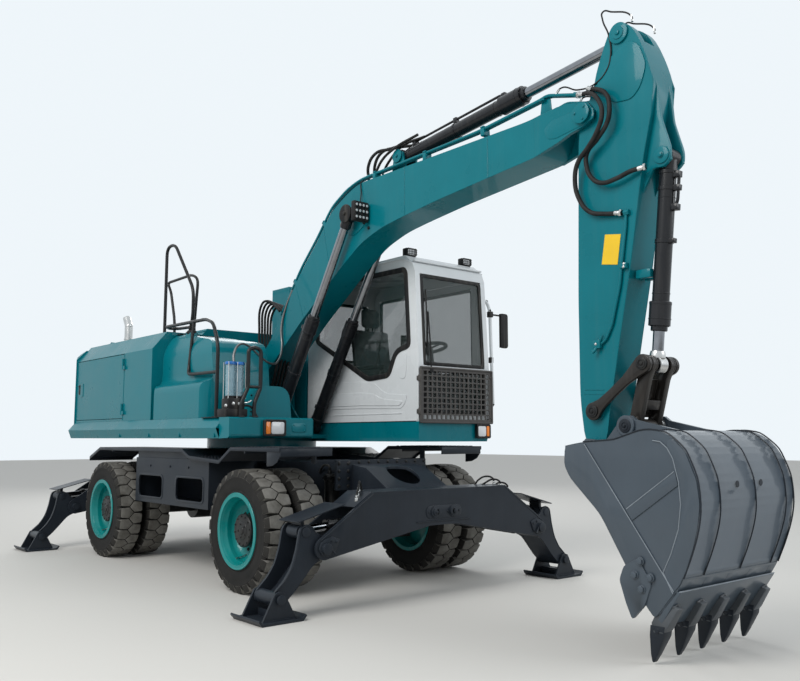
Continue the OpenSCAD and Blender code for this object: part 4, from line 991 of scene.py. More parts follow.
def buildHoodTrim():  # seams of the side and the top
    parts = [weld([(-1.02, -1.1712, 1.5), (-1.02, -1.1712, 2.23)], 0.003)]
    for x in (-1.52, -2.1, -0.95):
        parts.append(weld([(x, -0.98, 2.4305), (x, 0.98, 2.4305)] if x < -1.5 else [(x, -0.55, 2.5), (x, 0.88, 2.5)],
            0.003))
    for y in (-0.57, 0.93):
        parts.append(weld([(-1.49, y, 2.4705), (-0.31, y, 2.4705)], 0.003))
    return parts


def buildGrilles():  # dark louvred grilles in the hood's left side, its rear and the tall panel
    parts = []
    for x0, x1 in ((-2.36, -1.78), (-1.7, -1.12), (-1.04, -0.5)):
        parts.append(plate([(x0, 1.62), (x1, 1.62), (x1, 2.16), (x0, 2.16)], 1.169, 1.1735, "y", 0.001))
        for i in range(15):
            z = 1.65 + i * 0.034
            slat = plate([(1.172, z), (1.19, z - 0.006), (1.192, z + 0.003), (1.172, z + 0.024)], x0 + 0.03,
                x1 - 0.03, "x", 0.001)
            parts.append(slat)
    return parts


def buildDoorTrim():  # flush latch near the service door's rear edge
    x0 = hoodDoor["rear"]
    dark = [plate(rounded(x0 + 0.06, x0 + 0.125, 1.83, 1.95, 0.015), -1.174, -1.168, "y", 0.002)]
    dark.append(tube([(x0 + 0.078, -1.172, 1.935), (x0 + 0.078, -1.188, 1.93), (x0 + 0.107, -1.188, 1.93),
        (x0 + 0.107, -1.172, 1.935)], 0.004, 0.006))
    dark.append(disc((x0 + 0.092, -1.174, 1.86), 0.011, -0.004, "y", 20))
    return dark


finish(buildHoodTrim(), "hood_trim", "upper", "body")
finish(buildGrilles(), "side_grilles", "upper", "dark")
finish(buildDoorTrim(), "hood_door_latch", "hood_door", "dark")


def buildTailTrim():  # rear grille and lamps of the counterweight
    dark, amber, red = [], [], []
    for side in (1, -1):
        dark.append(block((-2.745, side * 0.83 - 0.13, 1.5), (-2.69, side * 0.83 + 0.13, 1.62), 0.012))
        red.append(block((-2.752, side * 0.83 - 0.115, 1.515), (-2.74, side * 0.83 + 0.005, 1.605), 0.006))
        amber.append(block((-2.752, side * 0.83 + 0.015, 1.515), (-2.74, side * 0.83 + 0.115, 1.605), 0.006))
    dark.append(plate([(-0.42, 1.82), (0.42, 1.82), (0.42, 2.16), (-0.42, 2.16)], -2.742, -2.66, "x", 0.004))
    for i in range(9):
        dark.append(block((-2.752, -0.4, 1.845 + i * 0.034), (-2.738, 0.4, 1.857 + i * 0.034), 0.002))
    return dark, amber, red


tailDark, tailAmber, tailRed = buildTailTrim()
finish(tailDark, "tail_grille", "upper", "dark")
finish(tailAmber, "tail_indicators", "upper", "orange")
finish(tailRed, "tail_lamps", "upper", "red")


def buildTankTrim():  # fill cap and seams of the tank and the front box
    dark = [turned([(0, 2.372), (0.05, 2.372), (0.052, 2.378), (0.046, 2.405), (0.03, 2.412), (0, 2.412)],
        (0.11, -0.93, 0.0), "z", 32, 0.001)]
    body = [weld([(-0.298, -1.1662, 1.5), (-0.298, -1.1662, 1.81)], 0.003)]
    dark += bolts([(0.94, -0.862, 1.55), (1.22, -0.862, 1.55), (0.94, -0.862, 1.7), (1.22, -0.862, 1.7)], (0, -1, 0),
        0.008)
    return body, dark


tankBody, tankDark = buildTankTrim()
finish(tankBody, "tank_trim", "upper", "body")
finish(tankDark, "tank_caps", "upper", "dark")

railFeet = []
for x, y, z in ((0.99, -1.1, 1.49), (-0.02, -0.84, 2.385), (-0.54, -0.93, 2.43), (0.06, -0.93, 2.385),
        (1.41, -1.085, 1.49), (1.41, -0.945, 1.49), (-1.2, -0.5, 2.47), (-0.7, -0.5, 2.47)):
    railFeet.append(plate(rounded(x - 0.034, x + 0.034, y - 0.032, y + 0.032, 0.01), z - 0.001, z + 0.01, "z",
        0.0015))
    railFeet += bolts([(x - 0.023, y - 0.02, z + 0.01), (x + 0.023, y + 0.02, z + 0.01)], (0, 0, 1), 0.007)
finish(railFeet, "rail_feet", "upper", "black")

exhaustTrim = [turned([(0.0485, 2.5), (0.054, 2.503), (0.054, 2.518), (0.0485, 2.521)], (-1.95, -0.75, 0), "z", 40),
    turned([(0.085, 2.4305), (0.088, 2.436), (0.085, 2.446), (0.06, 2.452), (0.05, 2.46), (0.047, 2.446)],
        (-1.95, -0.75, 0), "z", 40)]
finish(exhaustTrim, "exhaust_clamps", "upper", "steel")

headlamps = {"right": (1.48, -0.87, -0.65, 1.325, 1.465, -1), "left": (2.265, 1.06, 1.24, 1.305, 1.435, 1)}


def buildHeadlamps():
    dark, lens, amber = [], [], []
    for x, y0, y1, z0, z1, out in headlamps.values():
        width = y1 - y0
        split = y0 + width * (0.3 if out < 0 else 0.7)
        dark.append(ringPlate(rounded(y0 - 0.006, y1 + 0.006, z0 - 0.006, z1 + 0.006, 0.02),
            rounded(y0 + 0.01, y1 - 0.01, z0 + 0.012, z1 - 0.012, 0.015), x - 0.004, x + 0.008, "x",
            0.002))
        a, b = (split + 0.004, y1 - 0.012) if out < 0 else (y0 + 0.012, split - 0.004)
        c, d = (y0 + 0.012, split - 0.004) if out < 0 else (split + 0.004, y1 - 0.012)
        lens.append(plate(rounded(a, b, z0 + 0.014, z1 - 0.014, 0.02), x - 0.002, x + 0.005, "x", 0.004))
        amber.append(plate(rounded(c, d, z0 + 0.014, z1 - 0.014, 0.01), x - 0.002, x + 0.006, "x", 0.004))
    return dark, lens, amber


lampDark, lampLens, lampAmber = buildHeadlamps()
finish(lampDark, "headlamp_frames", "upper", "dark")
finish(lampLens, "headlamp_lenses", "upper", "lens")
finish(lampAmber, "indicator_lenses", "upper", "orange", "clear_plastic")

footRow = {"pin": (0.08, 1.71), "liftPin": (0.66, 1.42), "face": 0.203}


def buildFoot():  # pin caps and plates of the boom foot and of the lift cylinders' block
    parts = []
    (px, pz), (lx, lz) = footRow["pin"], footRow["liftPin"]
    for side in (1, -1):
        y = side * footRow["face"]
        parts.append(disc((px, y, pz), 0.078, side * 0.014, "y", 40))
        parts.append(disc((px, y + side * 0.014, pz), 0.042, side * 0.006, "y", 32))
        parts += bolts([(px + 0.058 * math.cos(a), y + side * 0.014, pz + 0.058 * math.sin(a))
            for a in (0.5, 2.6, 4.7)], (0, side, 0), 0.009)
        low, high = sorted((side * 0.1875, side * 0.196))
        parts.append(plate([(-0.06, 1.6), (0.21, 1.6), (0.2, 1.78), (0.1, 1.83), (0.0, 1.81), (-0.07, 1.72)], low,
            high, "y", 0.003))
        parts.append(disc((lx, side * 0.288, lz), 0.048, side * 0.012, "y", 32))
        parts += bolts([(lx, side * 0.3, lz)], (0, side, 0), 0.016)
    return parts


finish(buildFoot(), "boom_foot_caps", "upper", "body")
supplyHoses = []
for i in range(6):
    y = -0.13 + i * 0.05
    supplyHoses.append(tube([(0.16, y, 1.36), (0.24, y, 1.52), (0.36 - 0.01 * i, y, 1.78), (0.5 - 0.008 * i, y, 2.12),
        (0.545, y, 2.42), (0.56, y * 0.9, 2.6)], 0.0155, soft=True))
print("stage: upper body")


def gasket(outline, low, high, axis="y", width=0.028, edge=0.003):  # black rubber frame inside a window's outline
    middle = (sum(a for a, b in outline) / len(outline), sum(b for a, b in outline) / len(outline))
    inner = []
    n = len(outline)
    for i, (a, b) in enumerate(outline):
        before, after = outline[i - 1], outline[(i + 1) % n]
        d1 = Vector((a - before[0], b - before[1])).normalized()
        d2 = Vector((after[0] - a, after[1] - b)).normalized()
        inward = Vector((-(d1 + d2).y, (d1 + d2).x)).normalized()
        if inward.dot(Vector((middle[0] - a, middle[1] - b))) < 0:
            inward = -inward
        stretch = 1 / max(0.45, math.cos(d1.angle(d2) / 2))
        inner.append((a + inward.x * width * stretch, b + inward.y * width * stretch))
    return ringPlate(outline, inner, low, high, axis, edge)


def softOutline(points, r, steps=4):  # the same outline with its corners rounded
    out = []
    n = len(points)
    for i in range(n):
        c = Vector(points[i])
        a = Vector(points[i - 1])
        b = Vector(points[(i + 1) % n])
        reach = min(r, (a - c).length * 0.45, (b - c).length * 0.45)
        start = c + (a - c).normalized() * reach
        end = c + (b - c).normalized() * reach
        for k in range(steps + 1):
            t = k / steps
            p = start * (1 - t) ** 2 + c * 2 * t * (1 - t) + end * t ** 2
            out.append((p.x, p.y))
    return out


cabWindows = {"lowFront": [(0.385, 1.52), (1.205, 1.52), (1.205, 1.955), (0.385, 1.955)],
    "left": [(0.51, 2.15), (1.07, 2.15), (1.07, 2.88), (0.51, 2.88)],
    "rear": [(0.435, 2.15), (1.155, 2.15), (1.155, 2.82), (0.435, 2.82)],
    "screen": [(0.385, 1.985), (1.205, 1.985), (1.205, 2.87), (0.385, 2.87)], "screenFoot": 1.985,
    "lean": 0.052 / 0.9, "soft": 0.06}
sideWindow = [(0.56, 2.33), (1.46, 1.885), (1.8, 1.905), (1.905, 2.13), (2.105, 2.165), (2.06, 2.88), (2.02, 2.93),
    (0.56, 2.95)]
doorWindow = [(1.23, 2.15), (1.51, 1.95), (2.04, 1.95), (2.03, 2.83), (1.23, 2.83)]


def grown(points, by):
    middle = Vector((sum(p[0] for p in points) / len(points), sum(p[1] for p in points) / len(points)))
    return [tuple(Vector(p) + (Vector(p) - middle).normalized() * by) for p in points]


def buildGaskets():
    soft = cabWindows["soft"]
    parts = [
        gasket(softOutline(grown(sideWindow, 0.022), 0.07), 0.316, 0.334, "y", 0.05),
        gasket(softOutline(cabWindows["lowFront"], 0.05), 2.218, 2.239, "x", 0.03),
        gasket(softOutline(cabWindows["left"], soft), 1.246, 1.268, "y", 0.03),
        gasket(softOutline(cabWindows["rear"], soft), 0.396, 0.42, "x", 0.03),
    ]
    screen = gasket(softOutline(cabWindows["screen"], soft), 2.22, 2.238, "x", 0.035)
    # the windscreen leans back, so its frame is sheared with the glass
    for vert in screen.data.vertices:
        vert.co.x -= (vert.co.z - cabWindows["screenFoot"]) * cabWindows["lean"]
    parts.append(screen)
    return parts


finish(buildGaskets(), "window_gaskets", "upper", "dark")
doorGasket = gasket(softOutline(doorWindow, cabWindows["soft"]), 1.238, 1.267, "y", 0.028)
finish(doorGasket, "door_gasket", "cab_door", "dark")
doorGlass = plate(softOutline(doorWindow, 0.05), 1.246, 1.252, "y", 0)
finish(doorGlass, "door_glass", "cab_door", "glass")


def buildDoorHardware():
    parts = [block((1.99, 1.261, 1.85), (2.085, 1.276, 1.915), 0.004),
        tube([(2.0, 1.27, 1.885), (2.0, 1.292, 1.885), (2.07, 1.292, 1.885), (2.07, 1.27, 1.885)], 0.009, 0.01)]
    parts.append(ringPlate(rounded(1.175, 2.095, 1.545, 2.885, 0.05), rounded(1.187, 2.083, 1.557, 2.873, 0.042),
        1.2615, 1.2665, "y", 0.001))
    parts.append(tube([(1.22, 1.235, 2.02), (1.22, 1.19, 2.02), (1.22, 1.19, 2.55), (1.22, 1.235, 2.55)], 0.011,
        0.03))
    return parts


finish(buildDoorHardware(), "door_handle", "cab_door", "dark")

cabPanel = {"ribs": ((1.52, 1.545), (1.62, 1.645), (1.72, 1.745)), "roofRidges": (0.45, 0.62, 0.8, 0.98, 1.13),
    "ridgeHalf": 0.022, "gutters": (0.318, 1.272), "gutter": 0.0085}


def buildCabTrim():  # ribs and hinge strip of the side panel, rain strip and roof ridges
    parts = []
    for z0, z1 in cabPanel["ribs"]:
        parts.append(plate(rounded(0.5, 1.1, z0, z1, 0.011), 1.2635, 1.2695, "y", 0.003))
    raised = [(0.5, 1.6), (1.358, 1.597), (1.986, 1.581), (2.055, 1.65), (2.07, 1.72), (2.019, 1.712), (1.775, 1.733),
        (1.678, 1.772), (1.579, 1.842), (1.356, 1.87), (0.5, 1.885)]
    upper = [(0.55, 1.63), (1.36, 1.626), (1.965, 1.609), (2.02, 1.655), (1.775, 1.675), (1.659, 1.697),
        (1.58, 1.735), (1.357, 1.757), (0.55, 1.765)]
    parts += [
        plate(softOutline(raised, 0.03), 0.3195, 0.3265, "y", 0.004),
        plate(softOutline(upper, 0.03), 0.3145, 0.3215, "y", 0.004),
        plate(softOutline([(1.945, 1.89), (1.985, 1.862), (2.045, 1.872), (2.066, 1.98), (2.066, 2.1), (2.02, 2.126),
            (1.972, 2.1)], 0.03), 0.3195, 0.3265, "y", 0.004),
        plate(rounded(0.5, 1.99, 1.532, 1.544, 0.005), 0.3205, 0.3265, "y", 0.002),
        block((2.205, 0.317, 1.47), (2.238, 0.327, 1.98), 0.003),
    ]
    half = cabPanel["ridgeHalf"]
    for y in cabPanel["roofRidges"]:
        parts.append(block((0.62, y - half, 3.055), (1.9, y + half, 3.069), 0.008))
    for y in cabPanel["gutters"]:
        parts.append(tube([(0.5, y, 2.995), (0.58, y, 3.03), (2.02, y, 3.03), (2.14, y, 2.97)], cabPanel["gutter"],
            0.05))
    parts.append(block((2.12, 0.34, 2.985), (2.165, 1.25, 3.003), 0.006))
    parts.append(block((0.395, 0.34, 1.75), (0.4005, 1.25, 1.77), 0.003))
    return parts


cabTrim = finish(buildCabTrim(), "cab_trim", "upper", "cab")
shape(cabTrim, "WEIGHTED_NORMAL", keep_sharp=True, weight=100)

roofLamp = {"x": 2.02, "sides": (0.42, 1.17), "half": 0.062, "lensHalf": 0.05, "low": 3.062, "top": 3.145, "bars": 4,
    "rows": 3, "wire": 0.0026}


def buildRoofLamps():
    dark, lens, wire = [], [], []
    x, half, glass, thin = roofLamp["x"], roofLamp["half"], roofLamp["lensHalf"], roofLamp["wire"]
    for y in roofLamp["sides"]:
        dark.append(block((x - half, y - half, roofLamp["low"]), (x + 0.004, y + half, roofLamp["top"]), 0.01))
        lens.append(plate(rounded(y - glass, y + glass, 3.075, 3.133, 0.014), x + 0.002, x + 0.009, "x", 0.003))
        dark.append(ringPlate(rounded(y - 0.06, y + 0.06, 3.066, 3.143, 0.018),
            rounded(y - glass, y + glass, 3.075, 3.134, 0.014), x, x + 0.015, "x", 0.002))
        for i in range(roofLamp["bars"]):
            barY = y - 0.045 + i * 0.03
            wire.append(tube([(x + 0.01, barY, 3.066), (x + 0.03, barY, 3.075), (x + 0.03, barY, 3.135),
                (x + 0.01, barY, 3.143)], thin, 0.008))
        for i in range(roofLamp["rows"]):
            z = 3.083 + i * 0.022
            wire.append(tube([(x + 0.01, y - 0.06, z), (x + 0.031, y - 0.052, z), (x + 0.031, y + 0.052, z),
                (x + 0.01, y + 0.06, z)], thin, 0.008))
        dark.append(tube([(x - 0.03, y, 3.05), (x - 0.03, y, 3.075)], 0.014, 0))
    return dark, lens, wire


roofDark, roofLens, roofWire = buildRoofLamps()
finish(roofDark, "roof_lamp_cases", "upper", "dark")
finish(roofLens, "roof_lamp_lenses", "upper", "lens")
finish(roofWire, "roof_lamp_guards", "upper", "black")


screen = {"footX": 2.225, "footZ": 1.985, "slope": 0.051 / 0.885}
wiper = {"pivot": (2.238, 0.46, 1.94), "armY": 0.45, "bladeY": 0.448, "blade": (2.08, 2.72), "bladeRadius": 0.007}


def screenX(z, out=0.0):  # the windscreen's face at a height, and so far in front of it
    return screen["footX"] - (z - screen["footZ"]) * screen["slope"] + out


def buildWiper():
    y = wiper["bladeY"]
    low, top = wiper["blade"]
    return [
        disc(wiper["pivot"], 0.026, 0.03, "x", 24),
        tube([(2.26, 0.46, 1.94), (screenX(2.1, 0.045), 0.455, 2.1), (screenX(2.5, 0.034), wiper["armY"], 2.5)],
            0.0075, 0.05),
        block((screenX(2.3, 0.004), 0.441, 2.16), (screenX(2.3, 0.018), 0.457, 2.46), 0.003),
        tube([(screenX(2.1, 0.014), y, low), (screenX(2.72, 0.014), y, top)], wiper["bladeRadius"], 0),
        tube([(screenX(2.5, 0.03), wiper["armY"], 2.5), (screenX(2.42, 0.014), y, 2.42)], 0.006, 0),
        tube([(screenX(2.3, 0.033), wiper["armY"], 2.3), (screenX(2.3, 0.014), y, 2.3)], 0.005, 0),
    ]


finish(buildWiper(), "wiper", "upper", "dark")

mirror = {"y": (1.49, 1.6), "z": (2.225, 2.585), "x": (2.165, 2.2), "rim": 0.01,
    "faces": ((2.34, 2.575), (2.235, 2.325))}


def buildMirror():
    (y0, y1), (z0, z1), (x0, x1) = mirror["y"], mirror["z"], mirror["x"]
    rim = mirror["rim"]
    dark = [
        plate(rounded(y0, y1, z0, z1, 0.03), x0, x1, "x", 0.012),
        block((2.155, 1.325, 2.53), (2.205, 1.372, 2.59), 0.006),
        block((2.165, 1.33, 2.06), (2.205, 1.368, 2.12), 0.006),
    ]
    face = [plate(rounded(y0 + rim, y1 - rim, low, top, 0.02), x0 - 0.002, x0 + 0.0005, "x", 0.001)
        for low, top in mirror["faces"]]
    return dark, face


mirrorDark, mirrorFace = buildMirror()
finish(mirrorDark, "mirror_case", "upper", "dark")
finish(mirrorFace, "mirror_faces", "upper", "chrome")
cabRail = tube([(2.14, 1.255, 2.7), (2.14, 1.34, 2.7), (2.175, 1.35, 2.6), (2.205, 1.35, 1.64), (2.175, 1.34, 1.6),
    (2.175, 1.255, 1.6)], 0.0165, 0.05)
finish(cabRail, "cab_handrail", "upper", "cab")

interior = {"consoles": (0.455, 1.135), "consoleHalf": 0.045, "leverX": 1.47, "pedals": (0.7, 0.86),
    "pedalWidth": 0.09, "wheelRadius": 0.176, "wheelGrip": 0.018, "wheelPlace": (1.855, 0.795, 2.202),
    "wheelTilt": -12}


def buildInterior():  # console, levers, monitor and floor mat
    grips = []
    parts = [
        block((0.46, 0.4, 1.5), (0.86, 1.2, 1.95), 0.03),
        block((2.02, 0.39, 1.505), (2.18, 1.2, 1.9), 0.03),
        block((0.95, 0.38, 1.498), (2.15, 1.21, 1.506), 0.003),
    ]
    half, leverX = interior["consoleHalf"], interior["leverX"]
    for y in interior["consoles"]:
        parts.append(block((1.0, y - half, 2.0), (1.52, y + half, 2.045), 0.02))
        parts.append(turned([(0.0, 2.04), (0.035, 2.04), (0.03, 2.07), (0.014, 2.1), (0.012, 2.18), (0.0, 2.18)],
            (leverX, y, 0), "z", 24))
        grips.append(turned([(0.0, 2.17), (0.018, 2.175), (0.024, 2.22), (0.021, 2.28), (0.012, 2.3), (0, 2.302)],
            (leverX, y, 0), "z", 24))
    parts.append(block((1.88, 0.4, 2.12), (1.91, 0.54, 2.3), 0.008))
    parts.append(tube([(1.9, 0.43, 1.9), (1.9, 0.45, 2.14)], 0.014, 0))
    for y in interior["pedals"]:
        parts.append(plate([(2.02, 1.5), (1.94, 1.56), (1.87, 1.63), (1.85, 1.62), (1.92, 1.53), (1.98, 1.5)], y,
            y + interior["pedalWidth"], "y", 0.004))
    r, grip = interior["wheelRadius"], interior["wheelGrip"]
    ring = turned([(r + grip * math.cos(t * math.tau / 12), grip * math.sin(t * math.tau / 12)) for t in range(12)],
        (0, 0, 0), "z", 56)
    tilt = Matrix.Translation(interior["wheelPlace"]) @ Matrix.Rotation(math.radians(interior["wheelTilt"]), 4, "Y")
    grips.append(copyAt(ring, tilt))
    erase(ring)
    return parts, grips


interiorParts, gripsDark = buildInterior()
finish(interiorParts, "cab_interior", "upper", "dark")
finish(gripsDark, "steering_wheel_rim", "upper", "hose")

guardFrame = {"x": 2.269, "y": (0.319, 1.269), "z": (1.45, 1.962), "r": 0.01, "hinges": (1.55, 1.86)}


def buildGuardFrame():
    x, r = guardFrame["x"], guardFrame["r"]
    (y0, y1), (z0, z1) = guardFrame["y"], guardFrame["z"]
    parts = [tube([(x, y, z0), (x, y, z1)], r, 0) for y in (y0, y1)]
    parts += [tube([(x, y0, z), (x, y1, z)], r, 0) for z in (z0, z1)]
    for z in guardFrame["hinges"]:
        parts.append(disc((2.262, 0.312, z - 0.03), 0.015, 0.06, "z", 20))
        parts.append(block((2.225, 0.305, z - 0.022), (2.262, 0.32, z + 0.022), 0.003))
    parts += bolts([(x - 0.002, 1.25, z) for z in (1.5, 1.9)], (1, 0, 0), 0.009)
    return parts


finish(buildGuardFrame(), "cab_guard_frame", "upper", "guard")
cabSeal = [block((0.395, 0.32, 1.4565), (2.2, 1.27, 1.4645), 0.003)]
finish(cabSeal, "cab_seal", "upper", "dark")


def pillow(low, high, lift):  # cushion block with rounded corners, ready to be crowned
    clearSelection()
    bpy.ops.mesh.primitive_cube_add(size=1, location=[(a + b) / 2 for a, b in zip(low, high)])
    ob = bpy.context.object
    ob.scale = [b - a for a, b in zip(low, high)]
    settle(ob)
    shape(ob, "BEVEL", width=min(h - l for l, h in zip(low, high)) * 0.3, segments=4, limit_method="ANGLE")
    shape(ob, "REMESH", mode="VOXEL", voxel_size=0.012)
    shape(ob, "SMOOTH", factor=0.6, iterations=lift)
    return ob


def inflate(ob, pressure=4.0):
    pick([ob])
    start = [vert.co.copy() for vert in ob.data.vertices]
    cloth = ob.modifiers.new("Cloth", "CLOTH")
    cloth.settings.use_pressure = True
    cloth.settings.uniform_pressure_force = pressure
    cloth.settings.effector_weights.gravity = 0
    cloth.settings.quality = 5
    cloth.point_cache.frame_start = 1
    cloth.point_cache.frame_end = 20
    for number in range(1, 21):
        bpy.context.scene.frame_set(number)
    bpy.ops.object.modifier_apply(modifier=cloth.name)
    bpy.context.scene.frame_set(1)
    for vert, place in zip(ob.data.vertices, start):
        move = vert.co - place
        if move.length > 0.02:
            vert.co = place + move.normalized() * 0.02
    shape(ob, "SUBSURF", levels=1, render_levels=1)
    return ob

seat = {"cushion": ((0.945, 0.545, 1.775), (1.455, 1.045, 1.9)), "back": ((-0.055, 0.555, 0.0), (0.055, 1.035, 0.6)),
    "backFoot": (0.99, 0, 1.885), "backLean": -9.5, "head": ((-0.04, 0.685, 0.0), (0.04, 0.905, 0.2)),
    "headFoot": (0.905, 0, 2.5), "headLean": -3, "smoothing": 5, "softness": 0.7}


def lean(place, degrees):
    return Matrix.Translation(place) @ Matrix.Rotation(math.radians(degrees), 4, "Y")


def buildSeat():
    base = inflate(pillow(*seat["cushion"], seat["smoothing"]))
    back = pillow(*seat["back"], seat["smoothing"])
    head = pillow(*seat["head"], seat["smoothing"])
    back.data.transform(lean(seat["backFoot"], seat["backLean"]))
    head.data.transform(lean(seat["headFoot"], seat["headLean"]))
    inflate(back)
    inflate(head)
    return base, back, head


seatBase, seatBack, seatHead = buildSeat()
for part, name in ((seatBase, "seat_cushion"), (seatBack, "seat_back"), (seatHead, "seat_headrest")):
    finish(part, name, "upper", "cloth", angle=60)
print("stage: cab")


def between(a, b):  # place and direction of a strut drawn from a to b
    a, b = Vector(a), Vector(b)
    return Matrix.Translation(a) @ turnTo(b - a)


def spun(profile, a, b, steps=36):  # turned piece along the line from a to b, heights in metres from a
    ob = turned(profile, (0, 0, 0), "z", steps)
    ob.data.transform(between(a, b))
    return ob


def collar(low, high, r, inner, a, b, soft=0.004):  # ring with broken edges round a strut
    return spun([(inner, low), (r - soft, low), (r, low + soft), (r, high - soft), (r - soft, high), (inner, high)],
        a, b)


def pointOn(a, b, s, up=0.0):  # s metres along the strut, lifted square to it in the side view
    a, b = Vector(a), Vector(b)
    d = (b - a).normalized()
    return a + d * s + Vector((-d.z, 0, d.x)) * up


strutLines = {"lift": ((0.66, 1.42), (1.895, 3.395)), "arm": ((2.42, 3.86), (4.865, 4.105)),
    "curl": ((5.14, 3.169), (4.995, 1.787))}


def strut(kind, y=0.0):
    (xa, za), (xb, zb) = strutLines[kind]
    return Vector((xa, y, za)), Vector((xb, y, zb))


def buildBoomPipes():
    pipes, clamps = [], []
    line = [(0.56, 2.6), (0.72, 2.79), (0.94, 3.05), (1.22, 3.312), (1.46, 3.572), (1.72, 3.7), (1.93, 3.748),
        (3.5, 3.78), (4.143, 3.841), (4.219, 3.857), (4.479, 3.781)]
    for y in (-0.132, -0.1, 0.1, 0.132):
        pipes.append(tube([(x, y, z) for x, z in line], 0.0125, 0.09, steps=5))
        pipes.append(spun([(0, 0), (0.019, 0), (0.019, 0.03), (0, 0.03)], (4.467, y, 3.785), (4.55, y, 3.76), 6))
    for x, z, slope in ((0.83, 2.915, 50), (1.34, 3.436, 47), (2.15, 3.752, 1), (2.85, 3.764, 1), (3.55, 3.786, 5)):
        turn = Matrix.Translation((x, 0, z)) @ Matrix.Rotation(math.radians(-slope), 4, "Y")
        for y in (-0.116, 0.116):
            foot = block((-0.02, y - 0.036, -0.06), (0.02, y + 0.036, 0.004), 0.003)
            lid = block((-0.02, y - 0.036, 0.007), (0.02, y + 0.036, 0.02), 0.004)
            for ob in [foot, lid] + bolts([(0, y, 0.02)], (0, 0, 1), 0.009):
                ob.data.transform(turn)
                clamps.append(ob)
    for y in (-0.116, 0.116):
        clamps.append(plate([(4.13, 3.7), (4.25, 3.71), (4.235, 3.845), (4.15, 3.83)], y - 0.004, y + 0.004))
        clamps.append(block((4.15, y - 0.036, 3.826), (4.2, y + 0.036, 3.836), 0.002))
    return pipes, clamps


boomPipes, pipeClamps = buildBoomPipes()
finish(boomPipes, "boom_pipes", "boom", "body")
finish(pipeClamps, "pipe_clamps", "boom", "body")


def blended(obs, name, look):  # joined and dressed, with its placement baked into the mesh and no body to ride on
    ob = dress(obs, name, look, 40)
    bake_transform(ob)
    return ob


armHoses = {
    "long": [(4.526, -0.16, 3.758), (4.652, -0.18, 3.722), (4.731, -0.2, 3.641), (4.769, -0.22, 3.523),
        (4.715, -0.22, 3.401), (4.635, -0.21, 3.324), (4.542, -0.2, 3.248), (4.502, -0.19, 3.139),
        (4.53, -0.18, 2.979), (4.61, -0.17, 2.877), (4.72, -0.16, 2.842), (4.86, -0.15, 2.822)],
    "short": [(4.594, -0.13, 3.787), (4.681, -0.16, 3.751), (4.788, -0.19, 3.672), (4.819, -0.2, 3.577),
        (4.8, -0.2, 3.473), (4.704, -0.19, 3.375), (4.606, -0.18, 3.302), (4.598, -0.18, 3.211),
        (4.645, -0.18, 3.107), (4.729, -0.18, 3.056), (4.845, -0.18, 3.06), (4.962, -0.17, 3.088),
        (5.058, -0.15, 3.095)],
    "grease": [(4.295, -0.135, 3.832), (4.344, -0.135, 3.871), (4.507, -0.135, 3.808), (4.653, -0.135, 3.804),
        (4.754, -0.135, 3.865), (4.795, -0.135, 3.964), (4.784, -0.135, 4.117), (4.734, -0.135, 4.26),
        (4.736, -0.135, 4.306), (4.811, -0.135, 4.282), (4.976, -0.135, 4.183), (4.98, -0.135, 4.145)],
}


def ferrule(a, b, r, length=0.055):  # crimped end of a hose, from a towards b
    d = (Vector(b) - Vector(a)).normalized()
    end = Vector(a) + d * length
    sleeve = spun([(0, 0), (r * 1.3, 0), (r * 1.3, length * 0.3), (r * 1.15, length * 0.34), (r * 1.22, length * 0.5),
        (r * 1.15, length * 0.62), (r * 1.22, length * 0.8), (r * 1.12, length), (0, length)], a, end, 20)
    nut = spun([(0, 0), (r * 1.5, 0), (r * 1.5, length * 0.28), (0, length * 0.28)], a, end, 6)
    return [sleeve, nut]


def buildArmHoses():
    soft, boomEnds, armEnds = [], [], []
    for key, r in (("long", 0.0165), ("short", 0.0165), ("grease", 0.006)):
        run = armHoses[key]
        soft.append(tube(run, r, soft=True, sides=3))
        boomEnds += ferrule(run[0], run[1], r)
        armEnds += ferrule(run[-1], run[-2], r)
    return bothSides(soft), bothSides(boomEnds), bothSides(armEnds)


hoseRun, hoseBoomEnds, hoseArmEnds = buildArmHoses()
blended(hoseRun, "arm_hoses", "hose")
finish(hoseBoomEnds, "hose_ends_boom", "boom", "steel")
finish(hoseArmEnds, "hose_ends_arm", "arm", "steel")
blended(supplyHoses, "supply_hoses", "hose")


